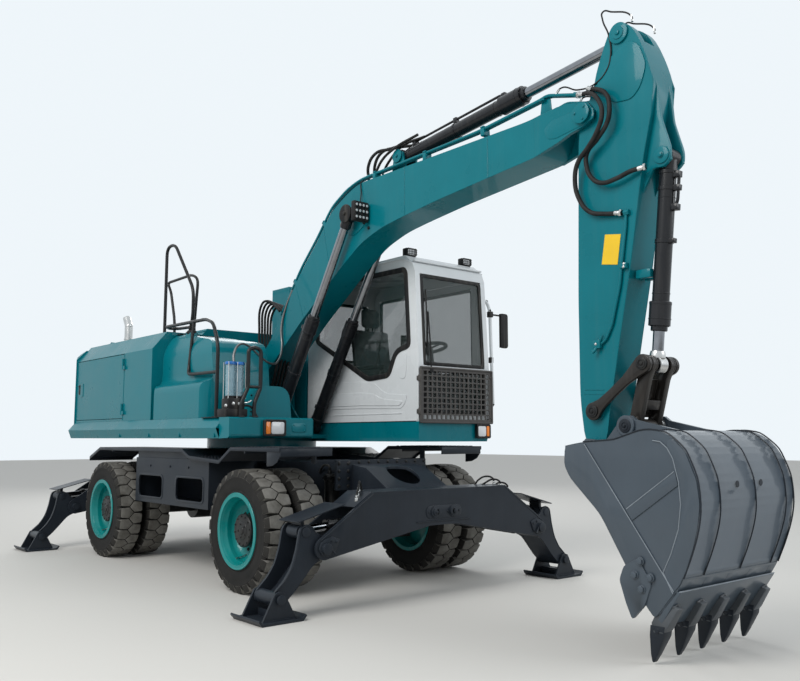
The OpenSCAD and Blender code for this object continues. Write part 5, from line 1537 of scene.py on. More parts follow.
def buildArmTrim():
    painted, signs, bright = [], [], []
    cheek = [(4.658, 3.777), (4.774, 3.944), (4.882, 4.008), (4.959, 4.019), (5.025, 3.966), (5.071, 3.823),
        (5.061, 3.764), (5.025, 3.668), (4.951, 3.601), (4.8, 3.62)]
    painted.append(plate(softOutline(cheek, 0.05), -0.136, -0.127, "y", 0.003))
    horn = [(5.03, 3.895), (5.068, 3.81), (5.116, 3.7), (5.133, 3.587), (5.144, 3.435), (5.178, 3.317), (5.21, 3.21),
        (5.206, 3.13), (5.15, 3.085), (5.08, 3.1), (5.0, 3.05), (4.99, 3.3), (5.04, 3.55), (5.045, 3.7),
        (4.97, 3.87)]
    painted.append(plate(softOutline(horn, 0.035), -0.089, -0.066, "y", 0.004))
    front = [(5.06, 3.9), (5.122, 3.69), (5.094, 3.466), (5.031, 3.209), (4.981, 2.946), (4.902, 2.485),
        (4.807, 2.023), (4.698, 1.48)]
    painted.append(weld([(x, -0.1255, z) for x, z in front], 0.0045))
    for run in ([(4.885, -0.14, 2.819), (4.882, -0.142, 2.737), (4.842, -0.142, 2.488), (4.82, -0.142, 2.334),
            (4.747, -0.142, 2.068), (4.694, -0.142, 1.97), (4.643, -0.142, 1.94)],):
        painted.append(tube(run, 0.0105, 0.03))
    painted += [
        spun([(0, 0), (0.019, 0), (0.019, 0.04), (0, 0.04)], (4.872, -0.142, 2.82), (4.905, -0.142, 2.821), 6),
        block((4.832, -0.158, 2.44), (4.885, -0.128, 2.478), 0.004),
        block((4.6, -0.165, 1.915), (4.66, -0.128, 1.975), 0.006),
        tube([(4.63, -0.15, 1.93), (4.615, -0.165, 1.9), (4.6, -0.17, 1.885)], 0.01, 0.01),
        tube([(4.65, -0.15, 1.96), (4.68, -0.16, 2.0)], 0.01, 0.01),
    ]
    bright += bolts([(4.868, -0.158, 2.469), (4.864, -0.158, 2.449)], (0, -1, 0), 0.008)
    bright += bolts([(4.626, -0.165, 1.945)], (0, -1, 0), 0.008)
    painted = bothSides(painted)
    bright = bothSides(bright)
    signs = bothSides([plate([(4.702, 2.704), (4.832, 2.684), (4.799, 2.477), (4.668, 2.498)], -0.1305, -0.1285, "y",
        0)])
    for z, x in ((2.4, 4.93), (3.28, 5.0)):
        painted.append(block((x - 0.03, -0.075, z - 0.03), (x + 0.085, -0.03, z + 0.03), 0.006))
        painted.append(block((x - 0.03, 0.03, z - 0.03), (x + 0.085, 0.075, z + 0.03), 0.006))
    for side in (-1, 1):
        for (x, z), r, y in (((4.865, 4.105), 0.075, 0.128), ((5.14, 3.169), 0.058, 0.084)):
            painted.append(disc((x, side * y, z), r, side * 0.016, "y", 40, 0.003))
            painted += bolts([(x, side * (y + 0.016), z)], (0, side, 0), 0.02)
        painted += [
            weld([(4.5, side * 0.1285, 1.637), (4.66, side * 0.1285, 1.63)], 0.003),
            weld([(4.49, side * 0.1285, 1.606), (4.652, side * 0.1285, 1.6)], 0.002),
            disc((4.593, side * 0.128, 1.485), 0.068, side * 0.006, "y", 40, 0.002),
            disc((4.58, side * 0.17, 1.22), 0.062, side * 0.004, "y", 40, 0.001),
        ]
    return painted, signs, bright


armTrim, armSigns, armBolts = buildArmTrim()
finish(armTrim, "arm_trim", "arm", "body")
finish(armSigns, "arm_sign", "arm", "yellow")
finish(armBolts, "arm_bolts", "arm", "steel")

boomRow = {"face": 0.1605, "midPin": (1.895, 3.395), "tipPin": (4.57, 3.6), "lampCells": (4, 3),
    "seams": (((2.6, 3.255), (2.6, 3.699)), ((3.62, 3.358), (3.62, 3.699)), ((1.02, 2.515), (0.87, 2.86)),
        ((1.5, 2.835), (1.36, 3.37)))}


def buildBoomTrim():
    painted, black, lens, cable = [], [], [], []
    (mx, mz), (tx, tz) = boomRow["midPin"], boomRow["tipPin"]
    for side in (-1, 1):
        y = side * boomRow["face"]
        painted.append(turned([(0.05, 0), (0.078, 0), (0.064, side * 0.012), (0.05, side * 0.012)], (mx, y, mz), "y",
            48))
        painted.append(plate(softOutline([(1.7, 3.28), (1.83, 3.52), (1.98, 3.54), (2.1, 3.42), (2.02, 3.27),
            (1.84, 3.2)], 0.06), *sorted((y, y + side * 0.006)), "y", 0.002))
        black.append(disc((mx, side * 0.278, mz), 0.088, side * 0.02, "y", 48, 0.005))
        black += bolts([(mx, side * 0.298, mz)], (0, side, 0), 0.02)
        painted.append(disc((tx, side * 0.188, tz), 0.074, side * 0.014, "y", 48, 0.003))
        painted += bolts([(tx + 0.05 * math.cos(a), side * 0.202, tz + 0.05 * math.sin(a)) for a in (0.9, 3.0, 5.1)],
            (0, side, 0), 0.009)
        for run in boomRow["seams"]:
            painted.append(weld([(x, y, z) for x, z in run], 0.0028))
        painted.append(disc((2.42, side * 0.09, 3.86), 0.062, side * 0.012, "y", 36, 0.003))
        painted += bolts([(2.42, side * 0.102, 3.86)], (0, side, 0), 0.016)
    nose = [(4.207, 3.582), (4.281, 3.633), (4.421, 3.638), (4.556, 3.649), (4.66, 3.623), (4.665, 3.547),
        (4.597, 3.523), (4.475, 3.507), (4.318, 3.486), (4.245, 3.5)]
    painted += bothSides([plate(softOutline(nose, 0.025), -0.172, -0.158, "y", 0.003)])
    black += [
        block((2.055, -0.345, 3.285), (2.105, -0.175, 3.475), 0.012),
        block((2.03, -0.2, 3.35), (2.06, -0.16, 3.41), 0.004),
        plate([(1.99, 3.35), (2.09, 3.35), (2.07, 3.41), (1.99, 3.41)], -0.26, -0.161, "y", 0.003),
    ]
    columns, rows = boomRow["lampCells"]
    for i in range(columns):
        for j in range(rows):
            y0, z0 = -0.335 + i * 0.0395, 3.297 + j * 0.057
            black.append(plate(rounded(y0, y0 + 0.036, z0, z0 + 0.053, 0.006), 2.103, 2.111, "x", 0.002))
            lens.append(disc((2.11, y0 + 0.018, z0 + 0.0265), 0.0125, 0.003, "x", 16, 0.001))
    cable.append(tube([(2.04, -0.2, 3.42), (2.0, -0.19, 3.5), (1.985, -0.172, 3.6), (1.97, -0.165, 3.69),
        (1.96, -0.14, 3.725)], 0.0055, soft=True, sides=2))
    black += bolts([(2.02, -0.161, 3.3), (2.09, -0.161, 3.24)], (0, -1, 0), 0.014)
    return painted, black, lens, cable


boomTrim, boomBlack, boomLens, boomCable = buildBoomTrim()
finish(boomTrim, "boom_trim", "boom", "body")
finish(boomBlack, "boom_lamp_and_caps", "boom", "dark")
finish(boomLens, "boom_lamp_cells", "boom", "lens")
finish(boomCable, "boom_lamp_cable", "boom", "hose")


# barrel's length, radius, gland and rod, its pipe's run and height, and its eye: half width, radius, bore, neck
cylinders = {
    "lift": {"length": 1.23, "r": 0.062, "head": 0.14, "headR": 0.069, "rodR": 0.04, "nose": 0.036,
        "pipe": (0.2, 1.06), "pipeUp": 0.088, "eye": (0.0362, 0.0695, 0.056, 0.07)},
    "arm": {"length": 1.46, "r": 0.062, "head": 0.22, "headR": 0.076, "rodR": 0.042, "nose": 0.036,
        "pipe": (0.16, 1.22), "pipeUp": 0.1, "eye": (0.0462, 0.0635, 0.046, 0.06)},
    "curl": {"length": 1.13, "r": 0.057, "head": 0.15, "headR": 0.072, "rodR": 0.038, "nose": 0.036,
        "pipe": (0.12, 0.3), "pipeUp": 0.085, "eye": (0.0432, 0.0615, 0.035, 0.03)},
}
liftY = 0.24


def barrelTrim(kind, y=0.0):  # weld rings, gland and bolts of one barrel
    a, b = strut(kind, y)
    row = cylinders[kind]
    length, r, head, headR, rodR = row["length"], row["r"], row["head"], row["headR"], row["rodR"]
    core = r - 0.01
    out = [
        collar(0.085, 0.115, r + 0.004, core, a, b),
        collar(0.27, 0.276, r + 0.0022, core, a, b, 0.001),
        collar(length - head - 0.07, length - head - 0.062, r + 0.0025, core, a, b, 0.001),
        collar(length - head - 0.012, length - head + 0.012, headR + 0.0015, core, a, b),
        collar(length - 0.05, length - 0.042, headR + 0.0025, core, a, b, 0.001),
        collar(length - 0.004, length + row["nose"], rodR + 0.017, rodR + 0.0015, a, b, 0.005),
    ]
    ring = [(headR * 0.8 * math.cos(t), headR * 0.8 * math.sin(t), length - 0.002)
        for t in [i * math.tau / 8 for i in range(8)]]
    for ob in bolts(ring, (0, 0, 1), 0.0085):
        ob.data.transform(between(a, b))
        out.append(ob)
    return out


# pipe that runs along a barrel, with its blocks and band
def pipeRun(kind, y, r, start, end, up, size=0.011, drop=0.0):
    a, b = strut(kind, y)
    way = 1 if up > 0 else -1
    points = [pointOn(a, b, start, way * r * 0.9), pointOn(a, b, start, up), pointOn(a, b, end, up),
        pointOn(a, b, end + 0.05, way * (r + 0.006))]
    if drop:
        points = [p + Vector((0, drop * (1 if i in (1, 2) else 0.7), 0)) for i, p in enumerate(points)]
    out = [tube(points, size, 0.035)]
    for s in (start, end + 0.04):
        box = block((-0.026, -0.026, -0.022), (0.026, 0.026, 0.022), 0.005)
        place = pointOn(a, b, s, way * (r + 0.012)) + Vector((0, drop * 0.8, 0))
        box.data.transform(Matrix.Translation(place) @ turnTo(b - a))
        out.append(box)
    middle = (start + end) / 2
    out.append(collar(middle - 0.014, middle + 0.014, r + 0.005, r - 0.01, a, b, 0.002))
    clip = block((-0.02, -0.024, -0.02), (0.02, 0.024, 0.02), 0.004)
    place = pointOn(a, b, middle, up - way * 0.008) + Vector((0, drop, 0))
    clip.data.transform(Matrix.Translation(place) @ turnTo(b - a))
    out.append(clip)
    return out


def dressBarrel(kind, y=0.0, drop=0.0):
    row = cylinders[kind]
    return barrelTrim(kind, y) + pipeRun(kind, y, row["r"], *row["pipe"], row["pipeUp"], drop=drop)


def buildCylinders():
    lift = []
    for side in (-1, 1):
        lift += dressBarrel("lift", side * liftY, side * 0.012)
    arm, curl = dressBarrel("arm"), dressBarrel("curl")
    a, b = strut("curl")
    curl.append(collar(0.55, 0.58, 0.062, 0.05, a, b, 0.002))
    lug = block((-0.012, -0.02, -0.016), (0.03, 0.02, 0.016), 0.003)
    lug.data.transform(Matrix.Translation(pointOn(a, b, 0.565, 0.07)) @ turnTo(b - a))
    curl.append(lug)
    return lift, arm, curl


liftTrim, armBarrelTrim, curlTrim = buildCylinders()
finish(liftTrim, "boom_cylinder_trim", "boom_cylinder_barrels", "barrel")
finish(armBarrelTrim, "arm_cylinder_trim", "arm_cylinder_barrel", "barrel")
finish(curlTrim, "bucket_cylinder_trim", "bucket_cylinder_barrel", "barrel")


def rodEye(kind, y=0.0):  # black forged end that covers the rod's eye
    a, b = strut(kind, y)
    rodR = cylinders[kind]["rodR"]
    halfWidth, r, pinR, length = cylinders[kind]["eye"]
    ring = turned([(pinR, -halfWidth), (r - 0.004, -halfWidth), (r, -halfWidth + 0.004), (r, halfWidth - 0.004),
        (r - 0.004, halfWidth), (pinR, halfWidth)], b, "y", 48)
    foot = (b - a).length - r - length
    top = (b - a).length - r * 0.75
    neck = spun([(rodR, foot), (rodR + 0.008, foot), (rodR + 0.014, foot + 0.02), (rodR + 0.014, top), (rodR, top)],
        a, b)
    return [ring, neck]


finish(rodEye("lift", -liftY) + rodEye("lift", liftY), "boom_rod_eyes", "boom_cylinder_rods", "barrel")
finish(rodEye("arm"), "arm_rod_eye", "arm_cylinder_rod", "barrel")
finish(rodEye("curl"), "bucket_rod_eye", "bucket_cylinder_rod", "steel")

linkage = {"rockerPin": (4.593, 1.485), "rockerTop": (4.995, 1.787), "linkPin": (4.886, 1.383),
    "barY": (0.142, 0.174), "cheekY": (0.079, 0.131), "linkPinEnd": 0.168}


def sideFrame(a, b, y=0.0):  # local X from a to b in the side view, local Y across, local Z square to both
    dx, dz = b[0] - a[0], b[1] - a[1]
    return Matrix.Translation((a[0], y, a[1])) @ Matrix.Rotation(-math.atan2(dz, dx), 4, "Y")


def arc(cx, cz, r, start, end, steps=12):
    return [(cx + r * math.cos(math.radians(start + (end - start) * i / steps)),
        cz + r * math.sin(math.radians(start + (end - start) * i / steps))) for i in range(steps + 1)]


def buildRocker():
    a, b = linkage["rockerPin"], linkage["rockerTop"]
    length = math.hypot(b[0] - a[0], b[1] - a[1])
    outline = arc(0, 0, 0.062, 55, 305, 16) + [(0.09, -0.036), (0.2, -0.031), (0.33, -0.033), (0.41, -0.045)]
    outline += arc(length, 0, 0.0625, -110, 110, 14) + [(0.41, 0.045), (0.33, 0.033), (0.2, 0.031), (0.09, 0.036)]
    inner, outer = linkage["barY"]
    bars, caps, bright = [], [], []
    for side in (-1, 1):
        low, high = sorted((side * inner, side * outer))
        bar = plate(outline, low, high, "y", 0.006)
        bar.data.transform(sideFrame(a, b))
        bars.append(bar)
        for (x, z), r in ((a, 0.044), (b, 0.042)):
            caps += [
                disc((x, side * outer, z), r, side * 0.01, "y", 40, 0.003),
                turned([(0.022, 0), (0.03, 0), (0.03, side * 0.004), (0.022, side * 0.004)], (x, side * 0.184, z),
                    "y", 32),
                disc((x, side * 0.184, z), 0.012, side * 0.006, "y", 24, 0.001),
            ]
        bright.append(turned([(0.034, side * 0.136), (0.056, side * 0.136), (0.056, side * 0.1395),
            (0.034, side * 0.1395)], (b[0], 0, b[1]), "y", 40))
    caps.append(turned([(0, -inner), (0.035, -inner), (0.035, inner), (0, inner)], (a[0], 0, a[1]), "y", 32))
    for side in (-1, 1):
        caps.append(turned([(0, side * 0.06), (0.0335, side * 0.06), (0.0335, side * inner), (0, side * inner)],
            (b[0], 0, b[1]), "y", 32))
    return bars, caps, bright


rockerBars, rockerCaps, rockerBright = buildRocker()
rockerPiece = finish(rockerBars, "rocker_bars", "rocker_links", "link")
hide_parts("rocker_links")
finish(rockerCaps, "rocker_pins", "rocker_links", "black")
finish(rockerBright, "rocker_shims", "rocker_links", "steel")


def buildLink():
    a, b = linkage["rockerTop"], linkage["linkPin"]
    length = math.hypot(b[0] - a[0], b[1] - a[1])
    out, bright = [], []
    outline = arc(0, 0, 0.06, 60, 300, 16) + [(0.09, -0.042), (length - 0.05, -0.042)]
    outline += arc(length, 0, 0.047, -70, 70, 10) + [(length - 0.05, 0.042), (0.09, 0.042)]
    for side in (-1, 1):
        low, high = sorted((side * linkage["cheekY"][0], side * linkage["cheekY"][1]))
        cheek = plate(outline, low, high, "y", 0.006)
        cheek.data.transform(sideFrame(a, b))
        out.append(cheek)
        for radius, near, far in ((0.061, 0.077, 0.088), (0.061, 0.122, 0.133)):
            out.append(turned([(0.036, side * near), (radius, side * near), (radius, side * far),
                (0.036, side * far)], (a[0], 0, a[1]), "y", 44))
    web = ringPlate(rounded(0.105, length - 0.055, -0.09, 0.09, 0.004, 8),
        rounded(0.155, length - 0.1, -0.034, 0.034, 0.033, 8), -0.042, -0.022, "z", 0.004)
    back = block((0.235, -0.09, 0.012), (0.3, 0.09, 0.036), 0.005)
    for ob in (web, back):
        ob.data.transform(sideFrame(a, b))
        out.append(ob)
    step = block((0.105, -0.062, -0.05), (0.128, 0.062, -0.036), 0.004)
    step.data.transform(sideFrame(a, b))
    out.append(step)
    end = linkage["linkPinEnd"]
    out.append(turned([(0, -end), (0.044, -end), (0.048, 0.004 - end), (0.048, end - 0.004), (0.044, end), (0, end)],
        (b[0], 0, b[1]), "y", 40))
    for side in (-1, 1):
        bright.append(turned([(0.0485, side * 0.135), (0.056, side * 0.135), (0.056, side * 0.166),
            (0.0485, side * 0.166)], (b[0], 0, b[1]), "y", 40))
    return out, bright


linkBars, linkBright = buildLink()
linkPiece = finish(linkBars, "link_frame", "bucket_link", "link")
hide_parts("bucket_link")
finish(linkBright, "link_collars", "bucket_link", "steel")


def buildBucketTrim():
    plates, bolted, dark = [], [], []
    strip = [(4.81, 1.2715), (4.72, 1.262), (4.655, 1.248), (4.647, 1.131), (4.69, 1.054), (4.919, 0.839),
        (5.099, 0.545), (5.191, 0.383), (5.285, 0.266), (5.398, 0.405), (5.422, 0.432)]
    rim = [(5.405, 1.247), (5.44, 1.187), (5.472, 1.057), (5.481, 0.928), (5.461, 0.787), (5.406, 0.642),
        (5.352, 0.536), (5.41, 0.425), (5.449, 0.47), (5.492, 0.545), (5.545, 0.68), (5.58, 0.8), (5.599, 0.935),
        (5.584, 1.07), (5.52, 1.225), (5.44, 1.302), (5.405, 1.29)]
    bar = [(5.109, 0.877), (5.45, 1.115), (5.466, 1.035), (5.151, 0.815)]
    for outline, bend in ((strip, 0.03), (rim, 0.025), (bar, 0.004)):
        plates.append(plate(softOutline(outline, bend), -0.557, -0.549, "y", 0.0025))
    plates = bothSides(plates)
    # light beads along the bucket's plate edges: painted highlight where the edges catch light, partly wear
    worn = [weld([(x, -0.5572, z) for x, z in line], 0.0032)
        for line in (((5.416, 0.436), (4.812, 1.266)), tuple(rim[:8]), ((5.113, 0.88), (5.446, 1.113)),
            ((5.31, 1.29), (5.36, 1.283), (5.405, 1.247)))]
    worn = bothSides(worn)
    bolted = bothSides(bolts([(5.208, -0.568, 0.584), (5.168, -0.568, 0.502), (5.274, -0.568, 0.497),
        (5.213, -0.568, 0.425)], (0, -1, 0), 0.023))
    for x, z in ((4.886, 1.383), (4.58, 1.22)):
        for side in (-1, 1):
            plates.append(turned([(0.045, 0), (0.068, 0), (0.068, side * 0.014), (0.063, side * 0.018),
                (0.045, side * 0.018)], (x, side * 0.207, z), "y", 44))
            dark.append(disc((x, side * 0.214, z), 0.046, side * 0.016, "y", 40, 0.003))
            dark.append(turned([(0.02, 0), (0.028, 0), (0.028, side * 0.003), (0.02, side * 0.003)],
                (x, side * 0.23, z), "y", 32))
            dark += bolts([(x, side * 0.23, z)], (0, side, 0), 0.01)
    shell = [(4.8, 1.2815), (5.027, 1.295), (5.22, 1.353), (5.3, 1.357), (5.399, 1.342), (5.47, 1.29), (5.526, 1.238),
        (5.57, 1.14), (5.594, 1.072), (5.6035, 0.98), (5.604, 0.9), (5.592, 0.82), (5.569, 0.736), (5.53, 0.63),
        (5.48, 0.515)]
    # dark beads over the shell's seams: dark welds with painted shade along their grooves
    for y in (-0.34, 0.07, 0.45):
        dark.append(tube([(x, y, z) for x, z in shell], 0.0042, 0.03, False, 2, 2))
    # dark discs for the shell's holes: painted shade inside the holes
    for y in (-0.14, 0.14):
        dark.append(turned([(0, 0), (0.02, 0), (0.02, 0.003), (0, 0.003)], (5.6, y, 1.035), "x", 32))
    # dark beads where the side plates meet the shell: dark welds with painted shade along the joint
    for y in (-0.5515, 0.5515):
        dark.append(tube([(x, y, z) for x, z in shell], 0.005, 0.03, False, 2, 2))
    return plates, bolted, dark, worn


lipRow = {"plate": [(5.447, 0.4385), (5.4525, 0.432), (5.3165, 0.2275), (5.306, 0.2215), (5.288, 0.243),
    (5.41, 0.432)], "cleared": [(5.4797, 0.5138), (5.4264, 0.424), (5.3114, 0.287), (5.2893, 0.301),
        (5.2, 0.31), (5.2, -0.03), (5.62, -0.03), (5.62, 0.5138)],
    "adapter": [(5.4, 0.352), (5.43, 0.336), (5.361, 0.222),
        (5.334, 0.186), (5.268, 0.186), (5.258, 0.24), (5.3, 0.325),
        (5.318, 0.34)],
    "tooth": [(5.346, 0.228), (5.338, 0.17), (5.282, 0.06),
        (5.253, 0.012), (5.239, 0.012), (5.236, 0.06),
        (5.243, 0.17), (5.252, 0.228)],
    "halfWidths": [(0.0, 0.014), (0.06, 0.024),
        (0.17, 0.04), (0.228, 0.044),
        (0.34, 0.031), (0.36, 0.028)],
    "count": 5, "endY": 0.51}


def tapered(outline, edge):  # plate whose width follows the height, as a forged tip has it
    ob = plate(outline, -1.0, 1.0, "y", 0)
    table = lipRow["halfWidths"]
    for vertex in ob.data.vertices:
        for (z0, w0), (z1, w1) in zip(table, table[1:]):
            if z0 <= vertex.co.z <= z1:
                vertex.co.y *= w0 + (w1 - w0) * (vertex.co.z - z0) / (z1 - z0)
                break
    return roundEdges(ob, edge, 2, 25)


def buildTeeth():
    plates = [plate(lipRow["plate"], -0.549, 0.549, "y", 0.003)]
    adapters, tips = [], []
    for i in range(lipRow["count"]):
        y = -lipRow["endY"] + i * 2 * lipRow["endY"] / (lipRow["count"] - 1)
        place = Matrix.Translation((0, y, 0))
        for outline, edge, group in ((lipRow["adapter"], 0.005, adapters), (lipRow["tooth"], 0.004, tips)):
            master = tapered(outline, edge)
            group.append(copyAt(master, place))
            erase(master)
        for side in (-1, 1):
            tips.append(disc((5.296, y + side * 0.0405, 0.2), 0.014, side * 0.006, "y", 20, 0.002))
        adapters.append(weld([(5.401, y - 0.036, 0.346), (5.409, y, 0.358), (5.401, y + 0.036, 0.346)], 0.005))
    line = weld([(5.4505, -0.549, 0.4375), (5.4505, 0.549, 0.4375)], 0.004)
    return plates, adapters, tips, [line]


bucketPlates, bucketBolts, bucketDarkAndShade, bucketEdgeHighlights = buildBucketTrim()
lipPlates, lipAdapters, toothTips, lipLine = buildTeeth()
finish(lipPlates, "lip_plate", "bucket", "bucket")
finish(lipAdapters, "tooth_adapters", "bucket", "wornSteel")
finish(toothTips, "tooth_tips", "bucket", "charcoal", "bucket_paint")
finish(bucketEdgeHighlights + lipLine, "bucket_worn_highlit_edges", "bucket", "worn")
finish(bucketPlates, "bucket_side_plates", "bucket", "bucket")
finish(bucketBolts, "cutter_bolts", "bucket", "bucket")
finish(bucketDarkAndShade, "bucket_shaded_seams", "bucket", "charcoal", "bucket_paint")
print("stage: working arm")


def cadCopy(nodeName):  # the CAD piece's mesh on its own, welded and with its flat faces joined
    twin = frame["nodes"][nodeName].copy()
    twin.data = twin.data.copy()
    twin.parent = None
    for key in list(twin.keys()):
        del twin[key]
    bpy.context.scene.collection.objects.link(twin)
    pick([twin])
    bpy.ops.object.mode_set(mode="EDIT")
    bpy.ops.mesh.select_all(action="SELECT")
    bpy.ops.mesh.remove_doubles(threshold=0.0001)
    bpy.ops.mesh.dissolve_limited(angle_limit=math.radians(0.6))
    bpy.ops.mesh.normals_make_consistent(inside=False)
    bpy.ops.object.mode_set(mode="OBJECT")
    return twin


refined = {  # edge width in metres, finish and slot of the nodes that keep their CAD form with broken edges
    "boom": (0.006, "body", "body_paint"), "arm": (0.006, "body", "body_paint"),
    "bucket": (0.004, "bucket", "bucket_paint"), "counterweight": (0.022, "body", "body_paint"),
    "engine_hood": (0.014, "body", "body_paint"), "hood_door": (0.006, "body", "body_paint"),
    "side_boxes": (0.014, "body", "body_paint"), "deck_frame": (0.006, "body", "body_paint"),
    "cab_shell": (0.011, "cab", "cab_paint"), "cab_door": (0.008, "cab", "cab_paint"),
    "stabiliser_beams": (0.004, "charcoal", "chassis_paint"), "side_guards": (0.004, "charcoal", "chassis_paint"),
    "chassis_frame": (0.005, "charcoal", "chassis_paint"),}
for corner in corners:
    refined["leg_" + corner] = (0.004, "charcoal", "chassis_paint")
    refined["pad_" + corner] = (0.004, "charcoal", "chassis_paint")


def refine(nodeName, width, finishName, slotName):
    source = frame["nodes"][nodeName]
    twin = cadCopy(nodeName)
    if nodeName == "bucket":
        twin = cut(twin, [plate(lipRow["cleared"], -0.57, 0.57, "y", 0)])
    twin = roundEdges(twin, width, 3 if width > 0.008 else 2, 28)
    piece = finish([twin], nodeName + "_skin", source["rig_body"], finishName, slotName, 30)
    if nodeName != "bucket":  # its rolled shell keeps the plain smooth normals
        shape(piece, "WEIGHTED_NORMAL", keep_sharp=True, weight=100)
    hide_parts(nodeName)
    return piece


for nodeName, (width, finishName, slotName) in refined.items():
    refine(nodeName, width, finishName, slotName)
print("stage: broken edges")

rail = {"main": 0.0175, "inner": 0.0165, "step": 0.018, "bend": 0.07}


def buildRails():
    out = []
    # main rail with its inner loop
    out.append(tube([(0.99, -1.1, 1.49), (1.0, -1.1, 2.17), (0.86, -1.08, 2.4), (0.62, -1.03, 2.465),
        (-0.46, -0.95, 2.5), (-0.56, -0.86, 2.5), (-0.47, -0.8, 2.495), (-0.02, -0.84, 2.47),
        (-0.02, -0.84, 2.39)], rail["main"], 0.09))
    out.append(tube([(0.31, -1.008, 2.475), (0.33, -1.06, 2.0), (0.36, -1.08, 1.935), (0.5, -1.085, 1.928),
        (1.0, -1.1, 1.922)], rail["inner"], rail["bend"]))
    # tall loop and the far one beside the walkway
    out.append(tube([(-0.54, -0.93, 2.43), (-0.535, -0.93, 3.39), (-0.34, -0.93, 3.4), (0.125, -0.93, 2.84),
        (0.125, -0.93, 2.55), (0.06, -0.93, 2.39)], rail["main"], 0.1))
    out.append(tube([(-1.2, -0.5, 2.48), (-1.21, -0.5, 2.7), (-1.33, -0.5, 3.06), (-1.425, -0.5, 3.17),
        (-0.78, -0.5, 3.18), (-0.63, -0.5, 3.11), (-0.69, -0.5, 2.65), (-0.7, -0.5, 2.48)],
        rail["inner"], 0.08))
    # step rail with slanted feet and a crossbar
    bow = [(1.41, -1.085, 1.49), (1.41, -1.08, 1.61), (1.41, -1.01, 1.76), (1.41, -1.01, 2.08)]
    bow += [(1.41, -0.945 - 0.065 * math.cos(a), 2.08 + 0.045 * math.sin(a))
        for a in [i * math.pi / 8 for i in range(1, 8)]]
    bow += [(1.41, -0.88, 2.08), (1.41, -0.88, 1.76), (1.41, -0.94, 1.62), (1.41, -0.945, 1.49)]
    out.append(tube(bow, rail["step"], 0.03))
    out.append(tube([(1.41, -1.01, 1.765), (1.41, -0.88, 1.765)], 0.014, 0))
    return out


railPiece = finish(buildRails(), "rail_tubes", "upper", "black")
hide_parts("handrails")

pump = {"jarX": 1.34, "jars": (-1.155, -1.062), "jarRadius": (0.0355, 0.041), "jarZ": (1.66, 1.966), "rod": 0.004}


def buildGreasePump():  # two clear jars on their pump, with tie rods and brass fittings
    black, jars, brass = [], [], []
    black += [
        block((1.22, -1.22, 1.489), (1.4, -1.0, 1.565), 0.01),
        block((1.27, -1.2, 1.56), (1.4, -1.03, 1.66), 0.012),
        tube([(1.3, -1.03, 1.58), (1.3, -0.96, 1.6), (1.3, -0.9, 1.58), (1.32, -0.86, 1.5)], 0.011, soft=True),
    ]
    x, (inner, outer), (z0, z1) = pump["jarX"], pump["jarRadius"], pump["jarZ"]
    for y in pump["jars"]:
        jars.append(turned([(inner, z0), (outer, z0), (outer, z1), (inner, z1)], (x, y, 0), "z", 40))
        black.append(turned([(0, 1.655), (0.046, 1.655), (0.046, 1.678), (0.036, 1.684), (0, 1.684)], (x, y, 0), "z",
            40))
        black.append(disc((x, y, 1.82), 0.034, 0.012, "z", 32))
        brass.append(turned([(0, 1.684), (0.005, 1.684), (0.005, 1.96), (0, 1.96)], (x, y, 0), "z", 12))
    for x, y in ((1.385, -1.195), (1.295, -1.195), (1.387, -1.108), (1.293, -1.108), (1.385, -1.022),
            (1.295, -1.022)):
        brass.append(tube([(x, y, 1.655), (x, y, 1.985)], pump["rod"], 0))
    brass += bolts([(1.38, -1.215, 1.59), (1.4, -1.09, 1.61), (1.4, -1.15, 1.61)], (1, 0, 0), 0.013)
    brass.append(tube([(1.4, -1.05, 1.62), (1.43, -1.02, 1.62), (1.43, -0.985, 1.64)], 0.007, 0.01))
    return black, jars, brass


def buildLids():
    return [turned([(0, 1.963), (0.047, 1.963), (0.0475, 1.97), (0.0475, 1.984), (0.044, 1.99), (0.012, 1.992),
        (0, 1.992)], (pump["jarX"], y, 0), "z", 40) for y in pump["jars"]]


pumpBlack, pumpJars, pumpBrass = buildGreasePump()
jarPiece = finish(pumpJars, "pump_jars", "upper", "jar")
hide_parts("grease_pump")
finish(pumpBlack, "pump_base", "upper", "dark")
finish(pumpBrass, "jar_rods", "upper", "steel")
finish(buildLids(), "jar_caps", "upper", "blue")
pumpLine = [tube([(1.32, -1.11, 1.985), (1.3, -1.1, 2.06), (1.25, -1.02, 2.16), (1.18, -0.88, 2.165),
    (1.12, -0.72, 2.08), (0.98, -0.5, 2.03), (0.8, -0.3, 2.1), (0.68, -0.195, 2.25),
    (0.64, -0.18, 2.45), (0.7, -0.165, 2.66), (0.8, -0.15, 2.83)], 0.011, soft=True)]
blended(pumpLine, "pump_line", "braid")


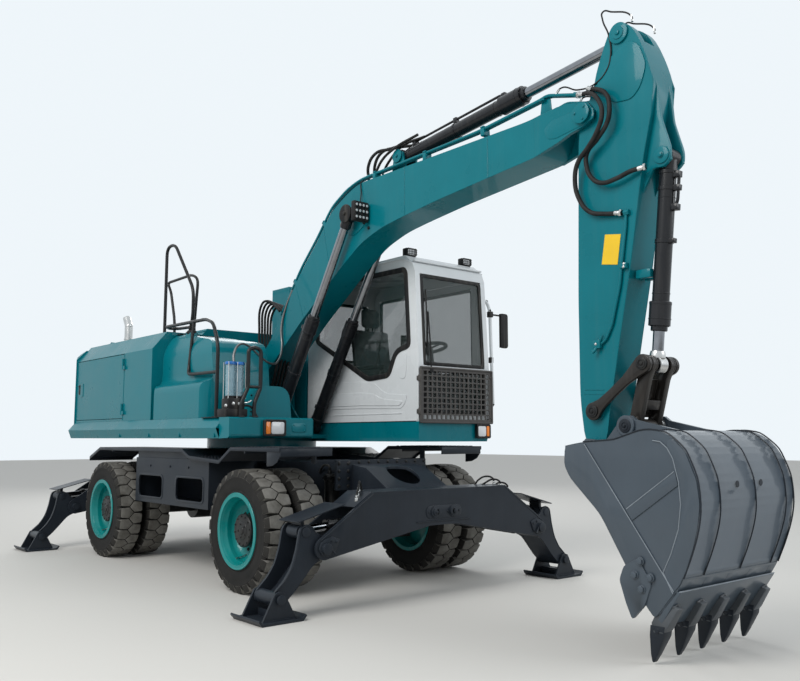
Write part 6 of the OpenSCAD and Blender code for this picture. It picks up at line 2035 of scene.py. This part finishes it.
def buildSeatBase():
    low = 1.498
    out = [block((0.98, 0.58, low), (1.42, 1.01, 1.56), 0.02), block((1.02, 0.61, 1.72), (1.4, 0.98, 1.775), 0.015)]
    for i in range(5):
        out.append(block((1.03 + 0.006 * (i % 2), 0.63, 1.56 + i * 0.033),
            (1.38 - 0.006 * (i % 2), 0.96, 1.59 + i * 0.033), 0.012))
    for y in (0.41, 1.09):
        out.append(block((0.98, y, 1.6), (1.54, y + 0.09, 1.995), 0.03))
        out.append(block((1.05, y + 0.01, low), (1.3, y + 0.08, 1.62), 0.01))
    shell = plate([(0.92, 1.83), (0.985, 1.83), (0.885, 2.45), (0.84, 2.47), (0.83, 2.42)], 0.575, 1.015, "y", 0.015)
    out.append(shell)
    for y in (0.745, 0.845):
        out.append(tube([(0.875, y, 2.44), (0.885, y, 2.56)], 0.007, 0))
    # steering column on the floor, its hub and spokes
    out.append(block((1.93, 0.74, low), (2.04, 0.85, 1.56), 0.012))
    out.append(tube([(1.985, 0.795, 1.54), (1.9, 0.795, 1.97), (1.862, 0.795, 2.19)], 0.036, 0.1))
    tilt = Matrix.Translation((1.855, 0.795, 2.195)) @ Matrix.Rotation(math.radians(-12), 4, "Y")
    hub = turned([(0, -0.03), (0.034, -0.03), (0.042, 0.0), (0.04, 0.014), (0.022, 0.02), (0, 0.02)], (0, 0, 0), "z",
        32)
    spokes = [block((0, -0.015, -0.006), (0.178, 0.015, 0.005), 0.004) for i in range(3)]
    for spoke, a in zip(spokes, (0, 130, 230)):
        spoke.data.transform(Matrix.Rotation(math.radians(a), 4, "Z"))
    for ob in [hub] + spokes:
        ob.data.transform(tilt)
        out.append(ob)
    return out


seatFrame = finish(buildSeatBase(), "seat_frame", "upper", "dark")
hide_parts("operator_seat")


def buildPipework():  # hoses at the arm cylinder's base and on the tall panel's front edge
    boomSide, panelSide = [], []
    for y, lift in ((-0.05, 0.0), (0.03, 0.03)):
        boomSide.append(tube([(1.95, y, 3.74), (2.0, y - 0.05, 3.86 + lift), (2.12, y - 0.06, 3.955 + lift),
            (2.3, y - 0.03, 3.96 + lift), (2.5, y, 3.965)], 0.0145, soft=True))
        boomSide.append(tube([(2.15, y - 0.08, 3.76), (2.25, y - 0.08, 3.86), (2.42, y - 0.07, 3.93 + lift),
            (2.7, y - 0.04, 3.985)], 0.0125, soft=True))
    for i in range(5):
        y = -0.03 - 0.035 * i
        panelSide.append(tube([(0.2, y, 2.2), (0.18, y, 2.45), (0.24, y - 0.01, 2.66 + 0.02 * i),
            (0.38, y - 0.01, 2.72 + 0.01 * i), (0.52, y, 2.68), (0.585, y, 2.63)], 0.013,
            soft=True))
    return boomSide, panelSide


boomSideHoses, panelHoses = buildPipework()
finish(boomSideHoses, "boom_top_hoses", "boom", "hose")
blended(panelHoses, "panel_hoses", "hose")
print("stage: rails and hoses")
